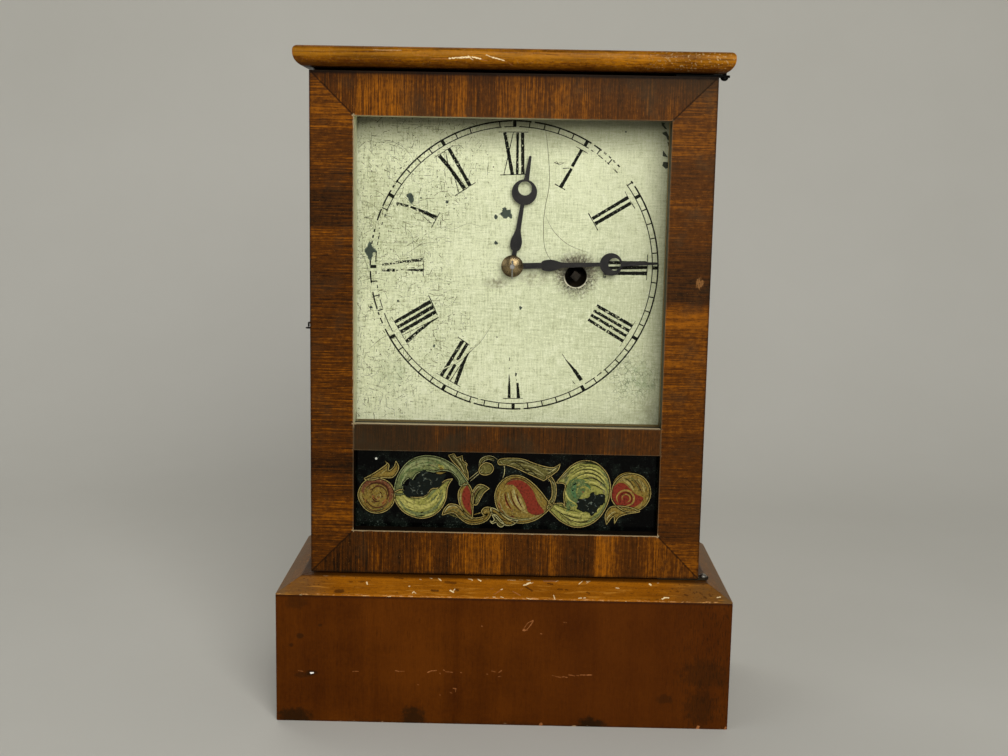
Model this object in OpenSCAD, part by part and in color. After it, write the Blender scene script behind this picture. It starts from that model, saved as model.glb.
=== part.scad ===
// Cottage shelf clock, millimetres. The front faces -Y, up is +Z, and the origin is the middle of
// the plinth's footprint. Movement pieces are drawn in the dial's plane and set along Y.

/* [Plinth] */
// Distance from the bevel's inner edge in to the case sides
case_inset = 4.45; // [3:0.05:8]
// Depth of the plinth, front to back
base_d = 108; // [104:1:124]
// Height of the plinth's upright face
base_face_h = 67.8; // [50:0.1:90]
// Rise of the bevel above the upright face
bevel_rise = 7.2; // [5:0.1:12]
// Run of the bevel, from the face inwards
bevel_run = 11.8; // [9:0.1:14]
// Width of the moulding strips that carry the bevel
moulding_w = 24; // [20:0.5:30]
// Thickness of the plinth's boards
plinth_t = 12; // [8:0.5:16]
// Leg of the glue blocks inside the plinth
glue_block = 16; // [10:1:24]

/* [Case] */
// Width of the case and of its door
case_w = 201.5; // [196:0.5:210]
// Height from the plinth to the underside of the top board
case_h = 257.8; // [250:0.1:290]
// Thickness of the case sides
side_t = 9; // [7:0.5:12]
// Thickness of the back board
back_t = 6; // [4:0.5:8]
// Depth of the rabbet in each side for the back board
back_rabbet = 4.5; // [3:0.5:6]
// Overhang of the top board past each side
top_over = 7.25; // [5:0.25:12]
// Reach of the top board in front of the door
top_reach = 6; // [4:0.5:10]
// Thickness of the top board
top_t = 10.2; // [9.5:0.1:16]
// Radius of the top board's upper edge
top_edge_r = 2.5; // [1:0.5:4]
// Radius of the curve under the top board's edge
top_under_r = 6.6; // [4:0.2:7]

/* [Door] */
// Distance from the bevel's inner edge back to the door's face
door_set = 2.2; // [1:0.1:4]
// Thickness of the door frame
door_t = 16; // [14:0.5:20]
// Gap between the door and the case behind it
door_gap = 0.3; // [0.2:0.1:1]
// Gap under and above the door, where the hinge straps lie
strap_gap = 1.3; // [1.2:0.1:2]
// Width of the stiles
stile_w = 22; // [18:0.5:26]
// Height of the top rail
top_rail_h = 21.6; // [18:0.2:26]
// Height of the bottom rail
bottom_rail_h = 22.4; // [18:0.2:26]
// Height of the middle rail
mid_rail_h = 13.8; // [12:0.2:20]
// Height of the tablet's opening
tablet_h = 42.4; // [36:0.2:50]
// Width of the rabbet that holds the glass
rabbet_w = 4; // [3:0.5:5]
// Depth of that rabbet from the back of the frame
rabbet_d = 7; // [6:0.5:9]
// Thickness of the glass
glass_t = 2; // [1.5:0.1:2.5]
// Thickness of the beads behind the glass
bead_t = 4; // [2:0.5:4.5]
// Clearance of each pane in its rabbet
pane_gap = 0.3; // [0.1:0.1:0.6]

/* [Hinges and hook] */
// Thickness of the hinge straps
strap_t = 1; // [0.8:0.1:1.1]
// Width of the hinge straps
strap_w = 5.5; // [4.5:0.5:7]
// Length of a strap along the door
strap_l = 21; // [16:1:30]
// Radius of the hinge pins
pin_r = 1.1; // [0.8:0.1:1.3]
// Radius of the hinge pins' heads
pin_head_r = 1.9; // [1.5:0.1:2.2]
// Distance of the hinge axis outside the door's edge
hinge_out = 3.15; // [2.8:0.05:3.5]
// Distance of the hinge axis behind the door's face
hinge_in = 4; // [3:0.5:6]
// Radius of the hook's wire
wire_r = 0.45; // [0.3:0.05:0.6]
// Height of the hook above the plinth
hook_up = 128.9; // [60:1:200]
// Length of the hook from its pin to its tip
hook_l = 26; // [22:1:32]
// Angle by which the hook rests lifted off its eye
hook_lift = 3.6; // [3:0.1:8]

/* [Dial] */
// Gap between the dial sheet and each case side
dial_side = 3.75; // [2:0.25:6]
// Height of the dial sheet
dial_h = 174; // [166:1:178]
// Thickness of the dial sheet
dial_t = 0.7; // [0.5:0.1:1]
// Distance from the case front back to the dial
dial_set = 5.7; // [5:0.1:8]
// Distance of the dial's top edge below the top board
dial_drop = 13; // [8:1:18]
// Radius of the winding hole
winding_hole_r = 5.75; // [5:0.25:6.5]
// Radius of the centre hole
centre_hole_r = 4.2; // [3.6:0.1:5]
// Width of the wooden cleats that carry the dial
cleat_w = 8; // [6:0.5:12]
// Length of those cleats past the dial's top and foot
cleat_over = 6; // [0:0.5:8]
// Depth of those cleats
cleat_d = 12; // [8:1:16]

/* [Hands] */
// Length of the hour hand from the arbor to its tip
hour_l = 56.9; // [50:0.1:60]
// Length of the minute hand from the arbor to its tip
minute_l = 75.3; // [70:0.1:77]
// Distance of the hour hand's ring from the arbor
hour_ring_at = 38.2; // [34:0.1:42]
// Radius of the hour hand's ring
hour_ring_r = 6.5; // [5:0.1:7]
// Distance of the minute hand's ring from the arbor
minute_ring_at = 50.9; // [46:0.1:56]
// Radius of the minute hand's ring
minute_ring_r = 5.8; // [5:0.1:7]
// Angle of the hour hand, clockwise from twelve
hour_angle = 8.3; // [0:0.1:360]
// Angle of the minute hand, clockwise from twelve
minute_angle = 87.9; // [0:0.1:360]
// Half width of the leaf on each hand
leaf_r = 3; // [2.5:0.1:3.2]
// Where along the leaf it is widest, from its end near the arbor
leaf_widest = 0.35; // [0.25:0.05:0.5]
// Thickness of the hands
hand_t = 0.8; // [0.5:0.1:0.9]
// Radius of the domed washer
washer_r = 5.65; // [4:0.05:7]

/* [Movement] */
// Sideways place of the centre arbor
centre_x = 1; // [-2:0.5:2]
// Height of the centre arbor above the plinth
centre_up = 160.8; // [155:0.1:166]
// Distance from the dial's face to the front plate
dial_stand = 24.4; // [24:0.1:27]
// Thickness of the plates
plate_t = 1.6; // [1.2:0.1:2]
// Thickness of the wood blocks behind the movement
block_t = 10; // [8:0.5:13]
// Radius of the pillars
pillar_r = 3; // [2.5:0.1:3.5]
// Radius of the arbors
arbor_r = 1.2; // [1:0.05:1.3]
// Radius of the arbors' pivots
pivot_r = 0.6; // [0.5:0.05:0.8]
// Clearance round a turning pivot
run_gap = 0.05; // [0.03:0.01:0.08]
// Clearance of pieces fixed to each other
fit_gap = 0.02; // [0.01:0.01:0.04]
// Radius of the winding arbor
wind_r = 2.5; // [2.2:0.1:2.8]
// Width of the winding arbor's square
wind_square = 4.2; // [3.6:0.1:4.4]
// Distance from the dial's face back to the square's tip
wind_sunk = 2.4; // [1:0.1:4]
// Angle of the winding arbor below the centre arbor's level
wind_angle = 8.6; // [0:0.1:12]
// Thickness of the mainspring
spring_t = 0.45; // [0.3:0.05:0.6]
// Turns of the mainspring
spring_turns = 7; // [5:1:9]
// Radius of the mainspring's outer turn
spring_r = 22; // [18:0.5:23]

/* [Gear train] */
// Module of the great wheel and centre pinion
great_m = 0.797; // [0.79:0.001:0.81]
// Teeth of the great wheel
great_n = 72; // [72:12:72]
// Module of the centre wheel and third pinion
centre_m = 0.48; // [0.47:0.005:0.49]
// Teeth of the centre wheel
centre_n = 84; // [84:7:84]
// Module of the third wheel and escape pinion
third_m = 0.42; // [0.41:0.005:0.43]
// Teeth of the third wheel
third_n = 70; // [70:7:70]
// Module of the four wheels behind the hands
motion_m = 0.6; // [0.58:0.01:0.62]
// Teeth of the escape wheel
escape_n = 38; // [36:1:40]
// Radius of the escape wheel
escape_r = 13; // [12:0.1:13.2]
// Height of the verge above the escape arbor
verge_up = 16; // [15.5:0.1:17]

/* [Pendulum] */
// Length of the pendulum from its bend to the bob's middle
pendulum_l = 155; // [150:1:160]
// Radius of the bob
bob_r = 14; // [10:0.5:15]
// Thickness of the bob
bob_t = 9; // [6:0.5:9]
// Radius of the pendulum's wire
rod_r = 0.6; // [0.5:0.05:0.8]
// Distance of the pendulum in front of the front plate
pendulum_out = 14.4; // [13.5:0.1:15]

/* [Hidden] */
$fn = 48;

base_w = case_w + 2 * (case_inset + bevel_run);
base_h = base_face_h + bevel_rise;
case_top = base_h + case_h;
y_back = base_d / 2;
y_front = -base_d / 2;
y_door = y_front + bevel_run + door_set;
y_case = y_door + door_t + door_gap;
y_board = y_back - back_t;
y_dial = y_case + dial_set;
y_plate = y_dial + dial_stand;
y_rear = y_board - block_t - plate_t;
pillar_l = y_rear - plate_t - y_plate;
y_glass = y_door + door_t - rabbet_d;
inner_w = case_w - 2 * side_t;

door_z0 = base_h + strap_gap;
door_z1 = case_top - strap_gap;
open_w = case_w - 2 * stile_w;
tablet_z0 = door_z0 + bottom_rail_h;
tablet_z1 = tablet_z0 + tablet_h;
dial_z0 = tablet_z1 + mid_rail_h;
dial_z1 = door_z1 - top_rail_h;
pocket_w = open_w + 2 * rabbet_w;

hinge_x = case_w / 2 + hinge_out;
hinge_y = y_door + hinge_in;
pin_head_t = 1.6;
pin_sunk = 6;
nail_r = 0.8;
nail_l = 8;

hook_z = base_h + hook_up;
hook_out = 1.95;
hook_x = -case_w / 2 - hook_out;
hook_tip_y = y_door + door_t / 2;
hook_pin_y = hook_tip_y + hook_l;
hook_pin_r = 0.9;
hook_pin_l = 4;
eye_r = 1.25;
eye_wire = 0.35;
eye_drop = 0.9;
eye_l = 5;

dial_top = case_top - dial_drop;
dial_foot = dial_top - dial_h;
dial_w = inner_w - 2 * dial_side;
dial_pin_in = 2;
dial_pin_r = 0.7;
dial_pin_l = 7;
dial_pin_x = dial_w / 2 - dial_pin_in;
dial_pin_z = [dial_foot + 3 * dial_pin_in, dial_foot + dial_h / 2, dial_top - 3 * dial_pin_in];

centre_z = base_h + centre_up;
centre_pinion_n = 12;
third_pinion_n = 7;
escape_pinion_n = 7;
cannon_n = 10;
minute_n = 30;
minute_pinion_n = 8;
hour_n = 32;

great_far = great_m * (great_n + centre_pinion_n) / 2;
third_far = centre_m * (centre_n + third_pinion_n) / 2;
escape_far = third_m * (third_n + escape_pinion_n) / 2;
motion_far = motion_m * (cannon_n + minute_n) / 2;

// Places in the dial's plane, measured from the centre arbor
great_at = great_far * [cos(wind_angle), -sin(wind_angle)];
escape_at = [-9, 21.5];
escape_d = norm(escape_at);
third_along = (third_far ^ 2 - escape_far ^ 2 + escape_d ^ 2) / (2 * escape_d);
third_across = sqrt(third_far ^ 2 - third_along ^ 2);
third_at = (third_along * escape_at + third_across * [-escape_at.y, escape_at.x]) / escape_d;
minute_at = [0, -motion_far];
verge_at = escape_at + [0, verge_up];
bridge_out = 5.5;
bridge_at = escape_at + (escape_r + bridge_out) * [cos(150), sin(150)];
post_up = 9.5;
post_at = verge_at + [0, post_up];

plate_box = [[-36, -42], [66, 52]];
pillar_in = 5;
pillar_at = [
    for (x = [plate_box[0].x + pillar_in, plate_box[1].x - pillar_in],
         z = [plate_box[0].y + pillar_in, plate_box[1].y - pillar_in]) [x, z]
];
screw_z = [-20, 27];
screw_r = 1.3;
screw_l = 9;
screw_at = [for (x = [plate_box[0].x + pillar_in, plate_box[1].x - pillar_in], z = screw_z) [x, z]];
window_box = [[[-25, -36], [-7, -18]], [[14, 22], [44, 44]], [[10, -37], [42, -28]]];
block_h = 14;
block_over = 6;

// Levels along Y
y_cannon = y_plate - 3;
cannon_t = 2;
y_hour = y_plate - 6.2;
hour_t = 2.2;
y_escape = y_plate - 2.5;
escape_t = 1.2;
y_bridge = y_plate - (pendulum_out + 0.4) / 2;
bridge_t = 1.2;
y_crutch = y_bridge - 1.6;
y_pendulum = y_plate - pendulum_out;
y_centre = y_plate + plate_t + 2.2;
centre_t = 1.2;
great_t = 2;
ratchet_t = 1.5;
y_ratchet = y_rear - 2 - ratchet_t;
y_great = y_ratchet - 0.4 - great_t;
y_spring = y_centre + centre_t + 1.1;
spring_w = y_great - 0.5 - y_spring;
y_third = y_plate + plate_t + 0.4 * pillar_l;
third_t = 1;
y_hour_hand = y_dial - 3;
y_minute_hand = y_hour_hand - 1.8;
y_washer = y_minute_hand - 1.75;
y_arbor_end = y_washer - 2.7;
y_taper_pin = y_washer - 0.75;
end_shake = 0.2;

cannon_pipe_r = 1.8;
hour_pipe_r = 2.9;
hour_seat_r = 2.6;
square_half = wind_square / 2;
ratchet_n = 20;
ratchet_r = 9;
click_far = 12.6;
great_hub_r = click_far + 3.9;
click_angle = 250;
click_gap = 0.2;
click_eye_r = 2.2;
pillar_pivot_r = 1.6;
pillar_nut_t = 2.2;
stud_r = 0.9;
post_r = 2.4;
bend_z = post_at.y - post_r - 0.2;
bob_z = bend_z - pendulum_l;
spring_free = 9;
nut_t = 2.6;
crutch_l = 22;

veneer = [0.45, 0.22, 0.09];
dark_veneer = [0.3, 0.14, 0.06];
pine = [0.72, 0.56, 0.36];
brass = [0.78, 0.6, 0.28];
steel = [0.5, 0.5, 0.52];
blued = [0.08, 0.08, 0.1];

// Box between two corners
module box(low, high) {
    translate(low) cube(high - low);
}

// A drawing in the dial's plane, given thickness from y0 to y1
module along_y(y0, y1) {
    translate([0, y1, 0]) rotate([90, 0, 0]) linear_extrude(y1 - y0) children();
}

// The same, with its drawing placed about the centre arbor
module on_centre(y0, y1) {
    translate([centre_x, 0, centre_z]) along_y(y0, y1) children();
}

// Round rod along Y, placed about the centre arbor
module rod(at, r, y0, y1, sides = $fn) {
    translate([centre_x + at.x, y1, centre_z + at.y]) rotate([90, 0, 0])
        cylinder(r = r, h = y1 - y0, $fn = sides);
}

// Round rod along X
module rod_x(x0, x1, y, z, r) {
    translate([x0, y, z]) rotate([0, 90, 0]) cylinder(r = r, h = x1 - x0);
}

// Round rod along Z
module rod_z(x, y, z0, z1, r) {
    translate([x, y, z0]) cylinder(r = r, h = z1 - z0);
}

// A drawing in plan, given height from z0 to z1
module along_z(z0, z1) {
    translate([0, 0, z0]) linear_extrude(z1 - z0) children();
}

// Case and plinth

module plinth_front() {
    color(dark_veneer) along_z(0, base_face_h) polygon([
        [-base_w / 2, y_front], [base_w / 2, y_front],
        [base_w / 2 - plinth_t, y_front + plinth_t], [plinth_t - base_w / 2, y_front + plinth_t]
    ]);
}

module plinth_side(side) {
    along_z(0, base_face_h) polygon([
        [side * base_w / 2, y_front], [side * base_w / 2, y_back],
        [side * (base_w / 2 - plinth_t), y_back], [side * (base_w / 2 - plinth_t), y_front + plinth_t]
    ]);
}

module plinth_side_left() {
    color(dark_veneer) plinth_side(-1);
}

module plinth_side_right() {
    color(dark_veneer) plinth_side(1);
}

// Section of the bevelled strip, its outer edge at 0 and its width along X
module bevel_section() {
    lip = 0.6;
    polygon([
        [0, base_face_h], [moulding_w, base_face_h], [moulding_w, base_h],
        [bevel_run, base_h], [0, base_face_h + lip]
    ]);
}

// Hole for the lower hinge pin
module pin_hole() {
    rod_z(hinge_x, hinge_y, base_h - pin_sunk - 0.2, base_h + 1, pin_r + fit_gap);
}

module base_moulding_front() {
    color(veneer) difference() {
        intersection() {
            translate([-base_w / 2, y_front, 0]) rotate([90, 0, 90]) linear_extrude(base_w)
                bevel_section();
            along_z(base_face_h, base_h) polygon([
                [-base_w / 2, y_front], [base_w / 2, y_front],
                [base_w / 2 - moulding_w, y_front + moulding_w],
                [moulding_w - base_w / 2, y_front + moulding_w]
            ]);
        }
        pin_hole();
    }
}

module base_moulding_side() {
    intersection() {
        translate([base_w / 2, y_back, 0]) mirror([1, 0, 0]) rotate([90, 0, 0])
            linear_extrude(base_d) bevel_section();
        along_z(base_face_h, base_h) polygon([
            [base_w / 2, y_front], [base_w / 2, y_back], [base_w / 2 - moulding_w, y_back],
            [base_w / 2 - moulding_w, y_front + moulding_w]
        ]);
    }
}

module base_moulding_left() {
    color(veneer) mirror([1, 0, 0]) base_moulding_side();
}

module base_moulding_right() {
    color(veneer) difference() {
        base_moulding_side();
        pin_hole();
    }
}

module glue_blocks() {
    x = base_w / 2 - plinth_t;
    color(pine) for (side = [-1, 1]) {
        along_z(glue_block / 2, base_face_h) polygon([
            [side * x, y_front + plinth_t], [side * x, y_front + plinth_t + glue_block],
            [side * (x - glue_block), y_front + plinth_t]
        ]);
        box([min(side * x, side * (x - glue_block)), y_back - 3 * glue_block, base_face_h - glue_block],
            [max(side * x, side * (x - glue_block)), y_back - glue_block, base_face_h]);
    }
}

module case_floor() {
    color(pine) difference() {
        box([moulding_w - base_w / 2, y_front + moulding_w, base_face_h],
            [base_w / 2 - moulding_w, y_back, base_h]);
        pin_hole();
    }
}

module case_side() {
    along_z(base_h, case_top) polygon([
        [case_w / 2, y_case], [case_w / 2, y_back], [case_w / 2 - side_t + back_rabbet, y_back],
        [case_w / 2 - side_t + back_rabbet, y_board], [case_w / 2 - side_t, y_board],
        [case_w / 2 - side_t, y_case]
    ]);
}

module case_side_left() {
    color(veneer) difference() {
        mirror([1, 0, 0]) case_side();
        rod_x(-case_w / 2 - 1, hook_pin_l + 0.2 - case_w / 2, hook_pin_y, hook_z, hook_pin_r + fit_gap);
    }
}

module case_side_right() {
    color(veneer) case_side();
}

module back_board() {
    half = inner_w / 2 + back_rabbet;
    color(pine) box([-half, y_board, base_h], [half, y_back, case_top]);
}

// Edge of the top board in section: small round above, large round below, at X = 0
module top_section(length) {
    z1 = case_top + top_t;
    difference() {
        translate([0, case_top]) square([length, top_t]);
        difference() {
            translate([-1, z1 - top_edge_r]) square([top_edge_r + 1, top_edge_r + 1]);
            translate([top_edge_r, z1 - top_edge_r]) circle(top_edge_r);
        }
        difference() {
            translate([-1, case_top - 1]) square([top_under_r + 1, top_under_r + 1]);
            translate([top_under_r, case_top + top_under_r]) circle(top_under_r);
        }
    }
}

module top_board() {
    half = case_w / 2 + top_over;
    y0 = y_door - top_reach;
    color(veneer) difference() {
        intersection() {
            translate([-half, y0, 0]) rotate([90, 0, 90]) linear_extrude(2 * half)
                top_section(y_back - y0);
            along_y(y0, y_back) union() {
                translate([-half, 0]) top_section(half);
                mirror([1, 0]) translate([-half, 0]) top_section(half);
            }
        }
        rod_z(hinge_x, hinge_y, case_top - 1, case_top + pin_sunk + 0.2, pin_r + fit_gap);
    }
}

// Door

module glass_pockets() {
    half = pocket_w / 2;
    box([-half, y_glass, dial_z0 - rabbet_w], [half, y_case, dial_z1 + rabbet_w]);
    box([-half, y_glass, tablet_z0 - rabbet_w], [half, y_case, tablet_z1 + rabbet_w]);
}

module door_member(points) {
    difference() {
        along_y(y_door, y_door + door_t) polygon(points);
        glass_pockets();
        hinge_nail_holes();
    }
}

module door_top_rail() {
    color(veneer) door_member([
        [-case_w / 2, door_z1], [case_w / 2, door_z1],
        [open_w / 2, dial_z1], [-open_w / 2, dial_z1]
    ]);
}

module door_bottom_rail() {
    color(veneer) door_member([
        [-case_w / 2, door_z0], [case_w / 2, door_z0],
        [open_w / 2, tablet_z0], [-open_w / 2, tablet_z0]
    ]);
}

module door_mid_rail() {
    color(veneer) difference() {
        union() {
            box([-open_w / 2, y_door, tablet_z1], [open_w / 2, y_door + door_t, dial_z0]);
            box([-pocket_w / 2, y_glass, tablet_z1 + rabbet_w],
                [pocket_w / 2, y_door + door_t, dial_z0 - rabbet_w]);
        }
        glass_pockets();
    }
}

function stile_points(side) = [
    [side * case_w / 2, door_z0], [side * case_w / 2, door_z1],
    [side * open_w / 2, dial_z1], [side * open_w / 2, tablet_z0]
];

module door_stile_left() {
    color(veneer) difference() {
        along_y(y_door, y_door + door_t) polygon(stile_points(-1));
        stile_pocket();
        rod_x(-case_w / 2 - 1, eye_l + 0.2 - case_w / 2, hook_tip_y, hook_z - eye_drop,
            eye_wire + 0.15 + fit_gap);
    }
}

module door_stile_right() {
    color(veneer) difference() {
        door_member(stile_points(1));
        stile_pocket();
    }
}

// The rabbet runs on behind the middle rail's tongue
module stile_pocket() {
    box([-pocket_w / 2, y_glass, tablet_z0 - rabbet_w], [pocket_w / 2, y_case, dial_z1 + rabbet_w]);
}

module pane(z0, z1) {
    half = pocket_w / 2 - pane_gap;
    edge = rabbet_w - pane_gap;
    box([-half, y_glass, z0 - edge], [half, y_glass + glass_t, z1 + edge]);
}

module dial_glass() {
    color([0.8, 0.9, 0.88, 0.3]) pane(dial_z0, dial_z1);
}

module tablet_glass() {
    color([0.12, 0.12, 0.1]) pane(tablet_z0, tablet_z1);
}

// Four beads round one opening, each against the rabbet's wall
module bead_set(z0, z1) {
    gap = 0.1;
    w = rabbet_w - 0.2;
    y0 = y_glass + glass_t;
    half = pocket_w / 2;
    low = z0 - rabbet_w;
    high = z1 + rabbet_w;
    for (side = [-1, 1])
        translate([side * (half - w / 2) - w / 2, y0, low]) cube([w, bead_t, high - low]);
    box([w + gap - half, y0, low], [half - w - gap, y0 + bead_t, low + w]);
    box([w + gap - half, y0, high - w], [half - w - gap, y0 + bead_t, high]);
}

module glazing_beads() {
    color(pine) union() {
        bead_set(dial_z0, dial_z1);
        bead_set(tablet_z0, tablet_z1);
    }
}

nail_x = [for (k = [0.3, 0.8]) case_w / 2 - k * strap_l];

module hinge_nail_holes() {
    for (x = nail_x) {
        rod_z(x, hinge_y, door_z1 - nail_l - 0.2, door_z1 + 1, nail_r + fit_gap);
        rod_z(x, hinge_y, door_z0 - 1, door_z0 + nail_l + 0.2, nail_r + fit_gap);
    }
}

module hinge_strap(z) {
    difference() {
        along_z(z, z + strap_t) union() {
            translate([case_w / 2 - strap_l, hinge_y - strap_w / 2])
                square([strap_l + hinge_out, strap_w]);
            translate([hinge_x, hinge_y]) circle(strap_w / 2);
        }
        rod_z(hinge_x, hinge_y, z - 1, z + strap_t + 1, pin_r + run_gap);
        for (x = nail_x)
            rod_z(x, hinge_y, z - 1, z + strap_t + 1, nail_r + fit_gap);
    }
}

module hinge_straps() {
    color(brass) union() {
        hinge_strap(door_z1);
        hinge_strap(door_z0 - strap_t);
    }
}

module hinge_nails() {
    color(steel) for (x = nail_x) {
        rod_z(x, hinge_y, door_z1 - nail_l, door_z1 + strap_t, nail_r);
        rod_z(x, hinge_y, door_z0 - strap_t, door_z0 + nail_l, nail_r);
    }
}

// Pin with a domed head; it points down from the head
module hinge_pin(length) {
    translate([hinge_x, hinge_y, 0]) rotate_extrude() {
        translate([0, -length]) square([pin_r, length + 0.5]);
        intersection() {
            square([pin_head_r, pin_head_t]);
            translate([0, pin_head_t - 1.16 * pin_head_r]) circle(1.16 * pin_head_r);
        }
    }
}

module hinge_pins() {
    gap = 0.1;
    color(brass) union() {
        translate([0, 0, door_z0 + gap]) hinge_pin(strap_gap + gap + pin_sunk);
        translate([0, 0, door_z1 - gap]) mirror([0, 0, 1]) hinge_pin(strap_gap + gap + pin_sunk);
    }
}

module door_eye() {
    color(steel) union() {
        translate([hook_x, hook_tip_y, hook_z - eye_drop]) rotate_extrude()
            translate([eye_r, 0]) circle(eye_wire, $fn = 24);
        rod_x(hook_x + eye_r, eye_l - case_w / 2, hook_tip_y, hook_z - eye_drop, eye_wire + 0.15);
    }
}

module hook_pin() {
    color(brass) union() {
        rod_x(hook_x - 0.75, hook_pin_l - case_w / 2, hook_pin_y, hook_z, hook_pin_r);
        rod_x(hook_x - 1.55, hook_x - 0.75, hook_pin_y, hook_z, 2 * hook_pin_r);
    }
}

// Loop round its pin, straight arm forward, tip bent down, all one wire
module latch_hook() {
    loop_r = hook_pin_r + run_gap + wire_r;
    tip = 1.9;
    color(steel) translate([hook_x, hook_pin_y, hook_z]) rotate([-hook_lift, 0, 0]) union() {
        rotate([0, 90, 0]) rotate_extrude() translate([loop_r, 0]) circle(wire_r, $fn = 24);
        translate([0, -loop_r, 0]) rotate([90, 0, 0]) cylinder(r = wire_r, h = hook_l - loop_r);
        translate([0, -hook_l, 0]) sphere(wire_r);
        translate([0, -hook_l, -tip]) cylinder(r = wire_r, h = tip);
    }
}

// Dial

module dial_plate() {
    color([0.78, 0.78, 0.6]) difference() {
        box([-dial_w / 2, y_dial, dial_foot], [dial_w / 2, y_dial + dial_t, dial_top]);
        rod([0, 0], centre_hole_r, y_dial - 1, y_dial + dial_t + 1);
        rod(great_at, winding_hole_r, y_dial - 1, y_dial + dial_t + 1);
        for (x = [-dial_pin_x, dial_pin_x], z = dial_pin_z)
            rod([x - centre_x, z - centre_z], dial_pin_r + fit_gap, y_dial - 1, y_dial + dial_t + 1);
    }
}

module dial_cleats() {
    y0 = y_dial + dial_t;
    color(pine) for (side = [-1, 1]) difference() {
        translate([side * (inner_w - cleat_w) / 2, y0 + cleat_d / 2, (dial_foot + dial_top) / 2])
            cube([cleat_w, cleat_d, dial_h + 2 * cleat_over], center = true);
        for (z = dial_pin_z)
            rod([side * dial_pin_x - centre_x, z - centre_z], dial_pin_r + fit_gap,
                y0 - 1, y0 + dial_pin_l + 0.2);
    }
}

module dial_pins() {
    head_r = 2.4 * dial_pin_r;
    $fn = 24;
    color(brass) for (x = [-dial_pin_x, dial_pin_x], z = dial_pin_z)
        translate([x, y_dial, z]) rotate([90, 0, 0]) rotate_extrude() {
            translate([0, -dial_pin_l - dial_t]) square([dial_pin_r, dial_pin_l + dial_t + 0.5]);
            intersection() {
                square(head_r);
                translate([0, -0.6 * head_r]) circle(1.2 * head_r);
            }
        }
}

// Hands

// Taper along +Y between two half widths
module taper(y0, w0, y1, w1) {
    polygon([[-w0, y0], [w0, y0], [w1, y1], [-w1, y1]]);
}

// Half width of a hand's leaf at share t of its length: round near the arbor, drawn out beyond
function leaf_half(t, neck, shaft) =
    t < leaf_widest ? neck + (leaf_r - neck) * sqrt(1 - (1 - t / leaf_widest) ^ 2)
    : shaft + (leaf_r - shaft) * (1 + cos(180 * (t - leaf_widest) / (1 - leaf_widest))) / 2;

// Hand along +Y: boss, neck, leaf, shaft, ring with its hole set towards the tip, blunt blade.
// The leaf's two ends are shares of the hand's length.
module moon_hand(length, ring_at, ring_r, leaf, neck, blade, boss_r, bore_r) {
    shaft = 0.42 * leaf_r;
    steps = [for (i = [0:20]) i / 20];
    outline = concat([[neck, 0]],
        [for (t = steps) [leaf_half(t, neck, shaft), length * (leaf[0] + t * (leaf[1] - leaf[0]))]],
        [[0.8 * shaft, ring_at - ring_r + 0.5]]);
    last = len(outline) - 1;
    difference() {
        union() {
            circle(boss_r);
            polygon(concat(outline, [for (i = [0:last]) [-outline[last - i].x, outline[last - i].y]]));
            translate([0, ring_at]) circle(ring_r);
            taper(ring_at + ring_r - 0.5, blade, length - blade / 2, blade / 2);
            translate([0, length - blade / 2]) circle(blade / 2);
        }
        circle(bore_r);
        translate([0, ring_at + 0.3 * ring_r]) circle(0.545 * ring_r);
    }
}

module hour_hand() {
    color(blued) on_centre(y_hour_hand, y_hour_hand + hand_t) rotate(-hour_angle)
        moon_hand(hour_l, hour_ring_at, hour_ring_r, [0.139, 0.346], 0.4 * leaf_r, 0.45 * leaf_r,
            hour_seat_r + 2.3, hour_seat_r + fit_gap);
}

module minute_hand() {
    color(blued) on_centre(y_minute_hand, y_minute_hand + hand_t) rotate(-minute_angle)
        moon_hand(minute_l, minute_ring_at, minute_ring_r, [0.198, 0.365], 0.5 * leaf_r, 0.4 * leaf_r,
            cannon_pipe_r + 2.4, cannon_pipe_r + fit_gap);
}

// Domed washer, hollow side to the hand
module hand_washer() {
    depth = y_minute_hand - y_washer - 0.05;
    dome_r = (washer_r ^ 2 + depth ^ 2) / (2 * depth);
    color(brass) translate([centre_x, y_minute_hand - 0.05, centre_z]) rotate([90, 0, 0])
        rotate_extrude() difference() {
            intersection() {
                translate([arbor_r + fit_gap, 0]) square([washer_r - arbor_r - fit_gap, depth]);
                translate([0, depth - dome_r]) circle(dome_r, $fn = 96);
            }
            translate([0, depth - dome_r - 0.7]) circle(dome_r, $fn = 96);
        }
}

module taper_pin() {
    translate([centre_x, y_taper_pin, centre_z]) color(steel)
        rotate_extrude() polygon([[0, -6.3], [0.3, -6.3], [0.55, 3], [0, 3]]);
}

// Toothed wheels

// Outline of a toothed wheel, six points to a tooth; phase is the angle of the first tooth
function gear_points(n, m, add, ded, tooth, phase) = [
    for (i = [0:n - 1], k = [0:5])
        let (half = tooth * 180 / n,
             r = m * (n / 2 + [-ded, 0.3 * add, add, add, 0.3 * add, -ded][k]),
             a = phase + 360 * i / n + half * [-1.08, -0.95, -0.25, 0.25, 0.95, 1.08][k])
        r * [cos(a), sin(a)]
];

// Openings between the arms of a wheel
module crossings(arms, r0, r1, arm_w) {
    difference() {
        circle(r1);
        circle(r0);
        for (i = [0:arms - 1])
            rotate(360 * i / arms) translate([0, -arm_w / 2]) square([r1 + 1, arm_w]);
    }
}

module wheel(n, m, phase, arms, hub_r, arm_w) {
    rim_r = m * (n / 2 - 1.35) - 1.9;
    difference() {
        polygon(gear_points(n, m, 0.95, 1.35, 0.46, phase));
        crossings(arms, hub_r, rim_r, arm_w);
    }
}

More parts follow.
